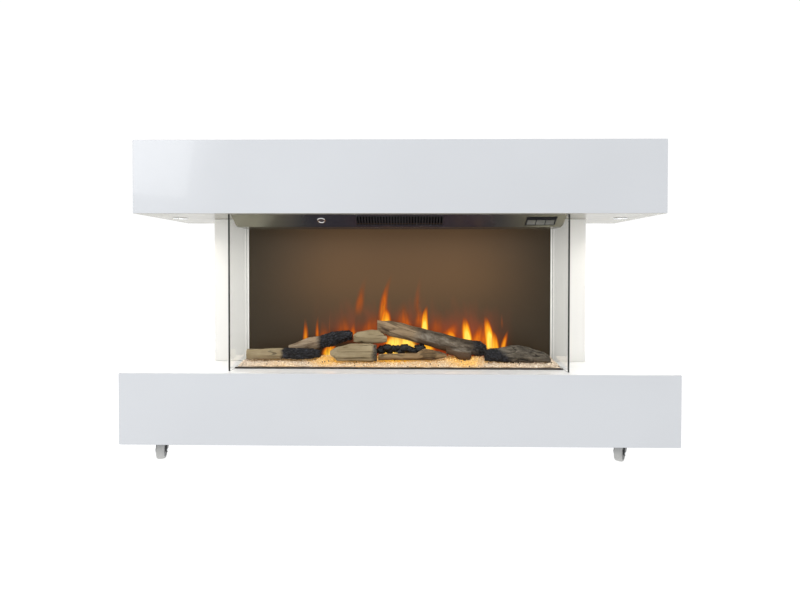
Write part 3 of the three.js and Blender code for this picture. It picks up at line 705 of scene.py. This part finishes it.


# Each log: its slot, how its surface is carved and how deeply in millimetres, and its rise along
# +X. The rest take a place in metres and say how charred, how brown underneath, how ashen or how
# dark with painted shade it is there, and how far it sags in millimetres.
LOGS = {
    "left_log": {
        "slot": "log_tan",
        "surface": split_face,
        "relief": 0.8,
        "charring": lambda p: ease(p.x, -0.279, -0.270),
    },
    "rear_left_log": {
        "slot": "log_brown",
        "surface": lambda p: 0.6 * split_face(p) + 0.4 * bark_plates(p),
        "relief": 1.2,
        "slope": 0.22,
        "charring": lambda p: ease(p.x, -0.203, -0.186),
    },
    "mid_log": {
        "slot": "log_tan",
        "surface": split_face,
        "relief": 1.1,
        "sag": lambda p: 3.0 * ease(p.z, 0.272, 0.260),
    },
    "front_log": {
        "slot": "log_tan",
        "surface": split_face,
        "relief": 1.4,
        "charring": lambda p: 0.8 * ease(p.x, -0.064, -0.053),
    },
    "main_log": {
        "slot": "log_grey",
        "surface": lambda p: weathered_grain(p) * ease(p.x, 0.10, 0.02)
        + 0.6 * bark_plates(p) * ease(p.x, 0.02, 0.10),
        "relief": 1.3,
        "slope": -0.268,
        "charring": lambda p: ease(p.x, 0.160, 0.190) * 0.94,
        "underside": lambda p: ease(p.x, 0.036, 0.052)
        * ease(p.z - (0.282 - 0.27 * p.x), 0.002, -0.004),
        "ashen": lambda p: ease(p.x, 0.026, 0.06),
        # The log is darker along its top edge towards +X: painted shade.
        "painted_shade": lambda p: ease(p.x, 0.0, 0.06)
        * ease(p.z - (0.303 - 0.27 * p.x), -0.012, 0.004),
    },
    "rear_long_log": {
        "slot": "log_brown",
        "surface": weathered_grain,
        "relief": 0.9,
        "charring": lambda p: 0.7 * ease(p.x, 0.07, 0.1) * ease(p.z, 0.232, 0.24),
    },
    "right_log": {
        "slot": "log_brown",
        "surface": bark_plates,
        "relief": 2.6,
        "slope": -0.12,
        "charring": lambda p: ease(p.x + 0.9 * (p.z - 0.234), 0.258, 0.240),
    },
}


def log_materials():
    tan = ((0.37, 0.305, 0.19), (0.30, 0.24, 0.142), (0.165, 0.122, 0.066))
    rosy = ((0.38, 0.30, 0.21), (0.30, 0.225, 0.15), (0.17, 0.115, 0.07))
    grey = ((0.36, 0.27, 0.168), (0.25, 0.178, 0.108), (0.09, 0.06, 0.036))
    warm = ((0.32, 0.225, 0.12), (0.23, 0.15, 0.075), (0.11, 0.068, 0.036))
    umber = ((0.19, 0.165, 0.13), (0.105, 0.09, 0.07), (0.035, 0.03, 0.023))
    return {
        "left_log": make_log("log_tan_sawn", *tan),
        "rear_left_log": make_log("log_brown_rosy", *rosy, (30.0, 110.0, 110.0), 0.22),
        "mid_log": make_log("log_tan_round", *tan),
        "front_log": make_log("log_tan_split", *tan),
        "main_log": make_log("log_grey_grained", *grey, (7.0, 120.0, 120.0), -0.268),
        "rear_long_log": make_log("log_brown_warm", *warm),
        "right_log": make_log("log_brown_bark", *umber, (24.0, 90.0, 90.0), -0.12, 0.2),
    }


def fine_copy(node):
    """The mesh of a CAD node, remeshed into small even faces."""
    copy = add("copy", nodes[node].data.copy())
    weld(copy)
    remesh = copy.modifiers.new("remesh", "REMESH")
    remesh.mode = "VOXEL"
    remesh.voxel_size = 1.0 * MM
    depsgraph = bpy.context.evaluated_depsgraph_get()
    mesh = bpy.data.meshes.new_from_object(copy.evaluated_get(depsgraph))
    bpy.data.objects.remove(copy)
    mesh.materials.clear()
    return mesh


def carve_log(name, plan, material):
    """A finely meshed log whose surface is carved, with its zones kept for its colours."""
    mesh = fine_copy(name)
    slope = plan.get("slope", 0.0)
    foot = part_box(name)[0].z
    zones = {zone: plan.get(zone, nowhere) for zone in ("charring", "underside", "ashen")}
    # By default a log gets darker over its lowest 9 mm: painted shade where it sits on the bed.
    zones["painted_shade"] = plan.get("painted_shade", lambda p: 0.7 * ease(p.z, foot + 9 * MM, foot + 1 * MM))
    kept = {key: [] for key in ("depth", *zones)}
    moves = []
    for vertex in mesh.vertices:
        point = vertex.co.copy()
        wander = Vector((0.005 * noise.noise(point * 70), 0.0, 0.003 * noise.noise(point * 55)))
        values = {zone: place(point + wander) for zone, place in zones.items()}
        char = values["charring"]
        along = Vector((point.x, point.y, point.z - slope * point.x))
        height = plan["surface"](along) * plan["relief"]
        height = height * (1 - char) + char_cracks(along) * CHAR_RELIEF * char
        broad = BROAD_RELIEF * noise.noise(point * 26 + Vector((3, 1, 4)))
        sag = plan.get("sag", nowhere)(point)
        moves.append((vertex.normal * (height + broad - 0.5) - Vector((0, 0, sag))) * MM)
        spread = plan["relief"] * (1 - char) * 1.3 + CHAR_RELIEF * char
        kept["depth"].append(min(1.0, max(0.0, 0.5 + 0.5 * height / spread + 0.12 * char)))
        for zone, value in values.items():
            kept[zone].append(value)
    for vertex, move in zip(mesh.vertices, moves):
        vertex.co += move
    for key, values in kept.items():
        store(mesh, key, values)
    mesh.shade_smooth()
    piece = new_object(f"{name}_carved", mesh, material, "root")
    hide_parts(name)


def make_coals():
    """The charred pile: irregular lumps along the CAD node's length, on the bed."""
    low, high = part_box("coal_centre")
    rng = random.Random(41)
    pile = Parts()
    lumps, rows, columns = 17, 14, 20
    for i in range(lumps):
        across = (i + 0.5) / lumps
        radius = (6.0 + 3.4 * rng.random()) * MM
        x = min(high.x - radius, max(low.x + radius, low.x + (high.x - low.x) * across))
        y = (low.y + high.y) / 2 + (rng.random() - 0.5) * 6 * MM
        z = low.z + (high.z - low.z) * (0.28 + 0.5 * rng.random())
        centre = Vector((x, y, z))
        stretch = Vector((1.25 + 0.3 * rng.random(), 0.85, 0.85 + 0.3 * rng.random()))
        turn = Matrix.Rotation(rng.random() * 3, 3, "Z") @ Matrix.Rotation(rng.random() * 3, 3, "X")
        vertices = []
        for row in range(rows + 1):
            polar = math.pi * row / rows
            girth = math.sin(polar)
            for column in range(columns):
                angle = 2 * math.pi * column / columns
                away = Vector((girth * math.cos(angle), girth * math.sin(angle), math.cos(polar)))
                near = noise.voronoi(away * 2.2 + Vector((i * 3.1, 0, 0)))[0]
                reach = 0.82 + 0.34 * ease(near[1] - near[0], 0.0, 0.4)
                reach += 0.12 * noise.noise(away * 5 + Vector((0, i * 2.3, 0)))
                spot = turn @ (away * radius * reach)
                vertices.append(centre + Vector(a * b for a, b in zip(spot, stretch)))
        inward = ring_faces(rows + 1, columns)
        pile.take(vertices, [(a, d, c, b) for a, b, c, d in inward])
    coal = Finish("log_charred", Specular_IOR_Level=0.35)
    ash = coal.noise(160, detail=4, rough=0.7)
    black, char, pale = (0.004, 0.004, 0.004), (0.013, 0.013, 0.014), (0.06, 0.055, 0.05)
    coal.colour(coal.ramp(ash, (0.38, black), (0.62, char), (0.82, pale)))
    coal.rough(coal.fade(ash, 0.35, 0.7, 0.25, 0.6))
    coal.bump(coal.noise(500, detail=4), 0.0005, 0.6)
    piece = new_object("coal_pile", pile.mesh("coal_pile"), coal.material, "root")
    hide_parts("coal_centre")


# ---- crystals and flames


def ember_glow(x, y):
    """How strongly the lamps under the bed show at a place, from 0 to 1."""
    # Each lamp's place, its reach and its strength.
    spots = (
        (-0.165, -0.055, 0.050, 0.95),
        (0.150, -0.055, 0.060, 1.0),
        (-0.010, -0.030, 0.070, 1.0),
        (0.060, -0.060, 0.090, 0.55),
        (-0.080, -0.075, 0.110, 0.5),
        (0.245, -0.075, 0.060, 0.35),
        (-0.270, -0.080, 0.070, 0.42),
    )
    glow = 0.16
    for cx, cy, reach, strength in spots:
        away = math.hypot((x - cx) / reach, (y - cy) / (reach * 0.75))
        glow = max(glow, strength * math.exp(-away * away))
    return glow


def make_bed():
    """A rippled sheet of embers with loose crystals on it, each a five-sided double pyramid."""
    crystals, speck_share = 3400, 0.035
    low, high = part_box("ember_bed")
    rng = random.Random(7)

    # Each heap's place, its height in millimetres and its reach.
    heaps = ((-0.172, -0.040, 11.0, 0.020), (0.120, -0.048, 7.0, 0.022), (0.183, -0.040, 8.0, 0.020))

    def top(x, y):
        back = (y - low.y) / (high.y - low.y)
        rise = 4.6 * ease(back, 0.0, 0.34) + 5.0 * ease(back, 0.5, 1.0)
        for heap_x, heap_y, height, reach in heaps:
            away = math.hypot(x - heap_x, y - heap_y) / reach
            rise += height * math.exp(-away * away)
        ripple = 0.9 * noise.noise(Vector((x * 60, y * 60, 0.0)))
        return low.z + (1.0 + rise + ripple) * MM

    columns, rows = 260, 34
    vertices, tones, lights = [], [], []
    for row in range(rows + 1):
        for column in range(columns + 1):
            x = low.x + (high.x - low.x) * column / columns
            y = low.y + (high.y - low.y) * row / rows
            grain = 0.5 * MM * noise.noise(Vector((x, y, 0)) * 420)
            vertices.append(Vector((x, y, top(x, y) + grain)))
            tones.append(0.35)
            lights.append(ember_glow(x, y))
    bed = Parts()
    bed.take(vertices, grid_faces(rows, columns))

    sides = []
    for i in range(5):
        j = (i + 1) % 5
        sides += [(i, j, 5), (j, i, 6)]
    for _ in range(crystals):
        x = low.x + (high.x - low.x) * rng.random()
        front = rng.random() ** 1.5
        y = low.y + 1.2 * MM + (high.y - low.y - 2.4 * MM) * front
        size = (1.2 + 1.5 * rng.random() ** 1.6) * MM
        x = min(high.x - size, max(low.x + size, x))
        y = min(high.y - size, max(low.y + size, y))
        middle = Vector((x, y, top(x, y) + 0.45 * size))
        turn = Matrix.Rotation(rng.random() * 6.3, 3, "Z") @ Matrix.Rotation(rng.random() * 3, 3, "X")
        ring = []
        for i in range(5):
            angle = 2 * math.pi * (i + 0.6 * rng.random()) / 5
            reach = size * (0.7 + 0.4 * rng.random())
            ring.append(Vector((reach * math.cos(angle), reach * math.sin(angle), 0.0)))
        tips = [Vector((0, 0, size * (0.6 + 0.4 * rng.random()) * sign)) for sign in (1, -1)]
        points = [middle + turn @ p for p in ring + tips]
        points = [Vector((p.x, max(low.y, min(high.y, p.y)), p.z)) for p in points]
        bed.take(points, sides)
        speck = rng.random() < speck_share
        tone = 0.02 if speck else 0.25 + 0.75 * rng.random()
        tones.extend([tone] * 7)
        glow = ember_glow(x, y) * (0.75 + 0.5 * rng.random())
        lights.extend([min(1.0, 0.0 if speck else glow)] * 7)
    mesh = bed.mesh("crystal_bed", smooth=False)
    store(mesh, "tone", tones)
    store(mesh, "lit", lights)
    piece = new_object("crystal_bed", mesh, make_crystal(), "root")
    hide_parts("ember_bed")


# Each tongue of flame: its middle, foot, height, width and lean at its tip, in millimetres, then
# its heat and its strength.
FLAMES = (
    (-230, 250, 68, 19, 1, 0.56, 0.8),
    (-201, 252, 74, 15, 2, 0.42, 0.75),
    (-171, 262, 80, 6, 2, 0.15, 0.5),
    (-186, 250, 60, 40, 0, 0.30, 0.6),
    (-137, 258, 78, 60, 4, 0.30, 0.6),
    (-112, 262, 48, 24, 0, 0.42, 0.65),
    (-75, 262, 78, 70, 4, 0.30, 0.65),
    (-101, 312, 112, 36, 13, 0.30, 0.75),
    (-41, 285, 146, 32, 10, 0.50, 0.85),
    (-32, 284, 62, 34, -3, 0.95, 0.95),
    (6, 280, 84, 56, 4, 0.30, 0.7),
    (20, 282, 56, 40, -4, 0.40, 0.6),
    (42, 312, 114, 26, 4, 0.16, 0.65),
    (49, 282, 76, 38, 0, 0.36, 0.7),
    (62, 268, 80, 22, 4, 1.25, 1.0),
    (94, 266, 70, 56, 0, 0.30, 0.5),
    (120, 262, 46, 58, 6, 0.42, 0.85),
    (126, 262, 27, 34, 2, 0.75, 0.7),
    (168, 246, 75, 30, -6, 1.25, 1.0),
    (190, 240, 72, 46, 4, 0.46, 0.9),
    (206, 240, 72, 40, 6, 0.40, 0.8),
    (224, 232, 92, 30, -8, 1.3, 1.0),
    (236, 234, 54, 24, -6, 0.8, 0.85),
    (254, 236, 52, 19, 9, 0.62, 0.85),
    (251, 284, 48, 10, 0, 0.15, 0.55),
    (-170, 214, 42, 44, 0, 1.0, 0.85),
    (-22, 222, 52, 56, 0, 1.0, 1.0),
    (8, 208, 72, 92, 0, 3.4, 1.0),
    (70, 230, 40, 46, 0, 0.9, 0.9),
)


def make_flames():
    """The flame image: thin curved tongues of light that lie just in front of the screen."""
    screen_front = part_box("flame_screen")[0].y
    rows, columns = 28, 10
    image = Parts()
    heats, strengths, spots = [], [], []
    for index, (x, foot, height, width, lean, heat, strength) in enumerate(FLAMES):
        vertices = []
        depth = screen_front - (0.25 + 0.012 * index) * MM
        upright = max(-1.0, min(1.0, lean / 10))
        for row in range(rows + 1):
            up = row / rows
            sway = 0.10 * width * math.sin(up * 5.0 + index * 1.9) * up
            taper = (1.0 - up ** (1.1 + 1.2 * heat)) ** 0.66
            half = 0.5 * width * taper
            middle = x + lean * up * up + sway + upright * 0.5 * width * (1.0 - taper)
            for column in range(columns + 1):
                across = column / columns
                side = middle + (2 * across - 1) * half
                vertices.append(Vector((side * MM, depth, (foot + height * up) * MM)))
                spots.append((across, up))
                heats.append(heat)
                strengths.append(strength)
        image.take(vertices, grid_faces(rows, columns))
    mesh = image.mesh("flame_image")
    store(mesh, "hotness", heats)
    store(mesh, "strength", strengths)
    layer = mesh.uv_layers.new(name="UVMap")
    for loop in mesh.loops:
        layer.data[loop.index].uv = spots[loop.vertex_index]
    new_object("flame_image", mesh, make_flame(), "root")


# ---- small turned parts


def make_downlights():
    """A chrome trim, a domed lens and a spot lamp for each downlight."""
    lens = make_lens(3.0)
    for side in ("left", "right"):
        low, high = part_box(f"downlight_{side}")
        middle = (low + high) / 2
        radius = (high.x - low.x) / 2
        place = Matrix.Translation((middle.x, middle.y, low.z))
        bead = ((0.66, 3.4), (0.68, 0.5), (0.72, 0.12), (0.86, 0.0), (0.96, 0.35), (1, 1.1), (1, 1.6))
        rim = outline_of(radius, *bead, (0.8, 1.6))
        rim += [(radius * 0.8, high.z - low.z), (0.5 * MM, high.z - low.z)]
        name = f"downlight_trim_{side}"
        trim = turned_piece(name, rim, place, CHROME, "root", "chrome_ring")
        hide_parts(f"downlight_{side}")
        dome = [
            (radius * 0.665 * math.cos(a), (2.6 - 1.6 * math.sin(a)) * MM) for a in quarter_turn(8)
        ]
        turned_piece(f"downlight_lens_{side}", dome, place, lens, "root")
        lamp = bpy.data.lights.new(f"downlight_{side}", "SPOT")
        lamp.energy = 1.7
        lamp.spot_size = math.radians(136)
        lamp.spot_blend = 1.0
        lamp.color = (1.0, 0.95, 0.84)
        lamp.shadow_soft_size = 0.012
        holder = add(f"downlight_{side}_light", lamp)
        holder.location = (middle.x, middle.y, low.z - 1.5 * MM)


# The fascia's face comes 38.5 mm forward as it rises 24.7 mm: the way up it and the way out of it.
FACE_UP = Vector((0.0, -38.5, 24.7)).normalized()
FACE_OUT = Vector((1.0, 0.0, 0.0)).cross(FACE_UP)


def make_receiver():
    """Chrome bezel ring round a dark, domed infrared window."""
    low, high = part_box("ir_receiver")
    turn = Matrix((Vector((1, 0, 0)), FACE_UP, FACE_OUT)).transposed().to_4x4()
    radius = (high.x - low.x) / 2
    fascia_low, fascia_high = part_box("fascia_panel")
    top_edge = Vector((0.0, fascia_low.y, fascia_high.z))
    below_edge = 21.0 * MM
    centre = Vector(((low.x + high.x) / 2, 0.0, 0.0)) + top_edge - FACE_UP * below_edge
    place = Matrix.Translation(centre) @ turn
    bead = ((0.64, 0.3), (0.66, 0.9), (0.72, 1.3), (0.82, 1.5), (0.96, 1.3), (1, 0.8), (1, 0.35))
    ring = outline_of(radius, *bead)
    bezel = turned_piece("receiver_ring", ring, place, CHROME, "root", "chrome_ring", sides=64)
    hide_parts("ir_receiver")
    # The dome stops just short of a point at its top.
    dome = [
        (radius * 0.65 * math.cos(a) + 1e-5, (0.3 + 0.9 * math.sin(a)) * MM)
        for a in quarter_turn(10)
    ]
    tinted = make_plastic("receiver_window", (0.045, 0.038, 0.042), rough=0.16, grain=200)
    turned_piece("receiver_window", dome, place, tinted, "root", "black_plastic")


def make_outlet_baffle():
    """A curved black vane behind the grille, which turns the warm air forwards."""
    low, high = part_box("outlet_grille")
    middle = (low + high) / 2
    half = (high.x - low.x) / 2 - 1 * MM
    vertices = []
    steps = 14
    for step in range(steps + 1):
        across = -1 + 2 * step / steps
        behind = 3.0 + 3.5 * (1 + across) + 2.2 * (1 - across * across)
        spot = middle + (FACE_UP * across * 15.5 - FACE_OUT * behind) * MM
        for end in (-1, 1):
            vertices.append(Vector((middle.x + end * half, spot.y, spot.z)))
    mesh = mesh_from("outlet_baffle", vertices, grid_faces(steps, 1))
    baffle = new_object("outlet_baffle", mesh, BLACK, "root")
    sheet = baffle.modifiers.new("sheet", "SOLIDIFY")
    sheet.thickness = 0.8 * MM


def make_wheels():
    """Smooth wheels: a pale rubbery tread on a dished, ribbed hub."""
    hub_grey = make_plastic("castor_hub_grey", (0.20, 0.20, 0.20), rough=0.5, grain=500)
    for corner in CORNERS:
        low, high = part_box(f"castor_wheel_{corner}")
        middle = (low + high) / 2
        radius = 20.0 * MM
        plan = next(j for j in frame["joints"] if j["name"] == f"roll_{corner}")
        axle = Vector(plan["axis"]).normalized()
        forward = axle.cross(Vector((0, 0, 1)))
        turn = Matrix((Vector((0, 0, 1)), forward, axle)).transposed().to_4x4()
        centre = Vector((middle.x, middle.y, radius))
        place = Matrix.Translation(centre) @ turn
        half = 8.5 * MM
        crown = 3.2 * MM
        tread = []
        for i in range(13):
            angle = math.pi * i / 12
            tread.append((radius - crown + crown * math.sin(angle) ** 0.6, -half * math.cos(angle)))
        tread += [(radius - 4.6 * MM, half - 0.6 * MM), (radius - 4.6 * MM, -half + 0.6 * MM)]
        spin = {"body": f"wheel_{corner}", "slot": "castor_wheel_grey", "sides": 72, "closed": True}
        rim = turned_piece(f"castor_tread_{corner}", tread, place, WHEEL, **spin)
        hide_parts(f"castor_wheel_{corner}")
        # The hub's face as radii and depths below the wheel's side, in millimetres.
        face = ((3.4, 0.0), (6.6, 0.0), (7.4, 0.5), (8.2, 2.4), (13.2, 2.4), (14.4, 1.2), (15.6, 1.0))
        hub = []
        for side, points in ((-1, face), (1, face[::-1])):
            hub += [(across * MM, side * (half - dip * MM)) for across, dip in points]
        turned_piece(f"castor_hub_{corner}", hub, place, hub_grey, **spin)
        cap = [(3.6 * MM, 0.0), (3.5 * MM, 0.9 * MM), (2.6 * MM, 1.5 * MM), (0.01 * MM, 1.7 * MM)]
        fork_half = 11.9 * MM
        ends = Parts()
        for side in (-1, 1):
            flip = Matrix.Diagonal((1, 1, side, 1))
            ends.take(*turned(cap, 24, place @ flip @ Matrix.Translation((0, 0, fork_half))))
        name = f"castor_axle_caps_{corner}"
        new_object(name, ends.mesh(name), CHROME, f"fork_{corner}")


SCREW_SIDES = 24


def screw_head(place, radius):
    """A pan head with a cross recess, in local Z."""
    dome = outline_of(radius, (1, 0.0), (1, 0.25), (0.92, 0.7), (0.62, 1.05))
    vertices, faces = turned(dome, SCREW_SIDES, place)
    start = len(vertices)
    arm, width = radius * 0.5, radius * 0.13
    outline = []
    for x, y in ((1, 0), (0, 1), (-1, 0), (0, -1)):
        for across in (-width, width):
            outline.append((x * arm - y * across, y * arm + x * across))
        outline.append(((x - y) * width, (x + y) * width))
    top, sunk = 1.05 * MM, 0.5 * MM
    for height in (top, sunk):
        vertices.extend(place @ Vector((x, y, height)) for x, y in outline)
    last_ring = 3 * SCREW_SIDES
    count = len(outline)
    for i in range(count):
        j = (i + 1) % count
        faces.append((start + i, start + count + i, start + count + j, start + j))
        around = [last_ring + (2 * i + step) % SCREW_SIDES for step in (2, 1, 0)]
        faces.append((start + i, start + j, *around))
    faces.append(tuple(start + count + i for i in range(count)))
    return vertices, faces


def make_rear_fixings():
    """Pan-head screws round the rear cover, and a pressed lip over each louvre."""
    low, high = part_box("rear_cover")
    outward = Matrix.Rotation(math.radians(-90), 4, "X")
    screws = Parts()
    inset = 9 * MM
    mid_height = (low.z + high.z) / 2
    for z in (low.z + inset, mid_height, high.z - inset):
        for x in (low.x + inset, low.x / 3, high.x / 3, high.x - inset):
            if z == mid_height and abs(x) < 0.3:
                continue
            screws.take(*screw_head(Matrix.Translation((x, high.y, z)) @ outward, 3.8 * MM))
    mesh = screws.mesh("rear_cover_screws", smooth=False)
    new_object("rear_cover_screws", mesh, CHROME, "root")

    lips = Parts()
    half, pitch, first, slot_height = 75 * MM, 13 * MM, 430 * MM, 5 * MM
    proud = 1.3 * MM
    columns, steps = 24, 8
    for bank in (-190 * MM, 190 * MM):
        for row in range(8):
            edge = first + row * pitch + slot_height
            vertices = []
            for column in range(columns + 1):
                along = -1 + 2 * column / columns
                swell = (1 - abs(along) ** 8) ** 0.5
                x = bank + along * (half + 1.5 * MM)
                for step in range(steps + 1):
                    down = step / steps
                    out = proud * swell * math.sin(down * math.pi / 2)
                    z = edge + 3.2 * MM - down * 5.0 * MM * (0.35 + 0.65 * swell)
                    vertices.append(Vector((x, high.y + 0.02 * MM + out, z)))
            lips.take(vertices, grid_faces(columns, steps))
    new_object("louvre_lips", lips.mesh("lips"), GALVANISED, "root")


def make_castor_screws():
    """Four screws that hold each castor's plate from below."""
    for corner in CORNERS:
        low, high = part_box(f"castor_plate_{corner}")
        screws = Parts()
        downward = Matrix.Rotation(math.pi, 4, "X")
        inset = 6.5 * MM
        sheet = high.z - 2.5 * MM
        for x in (low.x + inset, high.x - inset):
            for y in (low.y + inset, high.y - inset):
                screws.take(*screw_head(Matrix.Translation((x, y, sheet)) @ downward, 3.4 * MM))
        name = f"castor_screws_{corner}"
        new_object(name, screws.mesh(name, smooth=False), CHROME, "root")


# ---- stage, light and camera


def make_stage():
    """A pale floor, a pale world that is brighter behind the object, and three soft lamps."""
    size, sunk = 9.0, -0.0002
    corners = [(x * size, y * size, sunk) for x, y in ((-1, -1), (1, -1), (1, 1), (-1, 1))]
    floor = add("floor", mesh_from("floor", corners, [(0, 1, 2, 3)], smooth=False))
    floor.data.materials.append(make_floor())

    world = bpy.data.worlds.new("studio")
    bpy.context.scene.world = world
    world.use_nodes = True
    tree = world.node_tree
    background = tree.nodes["Background"]
    direction = tree.nodes.new("ShaderNodeTexCoord").outputs["Generated"]
    split = tree.nodes.new("ShaderNodeSeparateXYZ")
    tree.links.new(direction, split.inputs[0])
    ramp = tree.nodes.new("ShaderNodeMapRange")
    ramp.interpolation_type = "SMOOTHSTEP"
    limits = {"From Min": 0.05, "From Max": 0.6, "To Min": 0.84, "To Max": 1.04}
    for name, number in limits.items():
        ramp.inputs[name].default_value = number
    tree.links.new(split.outputs["Y"], ramp.inputs["Value"])
    tree.links.new(ramp.outputs[0], background.inputs["Strength"])
    background.inputs["Color"].default_value = (1.0, 1.0, 1.0, 1.0)

    def softbox(name, location, aim, size, power, colour=(1.0, 1.0, 1.0)):
        lamp = bpy.data.lights.new(name, "AREA")
        lamp.shape = "RECTANGLE"
        lamp.size, lamp.size_y = size
        lamp.energy = power
        lamp.color = colour
        holder = add(name, lamp)
        holder.location = location
        direction = Vector(aim) - Vector(location)
        holder.rotation_mode = "QUATERNION"
        holder.rotation_quaternion = direction.to_track_quat("-Z", "Y")
        holder.visible_camera = False

    softbox("top_light", (0.0, -0.4, 2.6), aim=(0.0, -0.1, 0.3), size=(3.2, 2.2), power=25.0)
    softbox("key_light", (-1.35, -1.25, 1.2), aim=(-0.3, -0.1, 0.5), size=(0.9, 0.9), power=6.0)
    recess, warm = (0.0, -0.136, 0.49), (1.0, 0.97, 0.90)
    softbox("recess_light", recess, aim=(0.0, -0.03, 0.2), size=(0.72, 0.10), power=0.44, colour=warm)


def make_camera():
    """The photograph's viewpoint and lens, from a camera fitted to the object's straight edges."""
    camera = add("camera", bpy.data.cameras.new("camera"))
    camera.location = (0.0197, -1.2354, 0.4467)
    left, down, clockwise = 0.813, 0.772, 0.064
    turn = Matrix.Rotation(math.radians(left), 3, "Z")
    tilt = Matrix.Rotation(math.radians(90 - down), 3, "X")
    roll = Matrix.Rotation(math.radians(clockwise), 3, "Z")
    camera.rotation_euler = (turn @ tilt @ roll).to_euler()
    camera.data.sensor_width = 36.0
    camera.data.lens = 22.8
    camera.data.shift_y = -0.0372
    camera.data.clip_start = 0.01
    bpy.context.scene.camera = camera


finish_nodes()
materials = log_materials()
for log_name, log_plan in LOGS.items():
    carve_log(log_name, log_plan, materials[log_name])
make_coals()
make_bed()
make_flames()
make_downlights()
make_receiver()
make_outlet_baffle()
make_wheels()
make_rear_fixings()
make_castor_screws()
make_stage()
make_camera()
bpy.context.scene.view_settings.view_transform = "Standard"
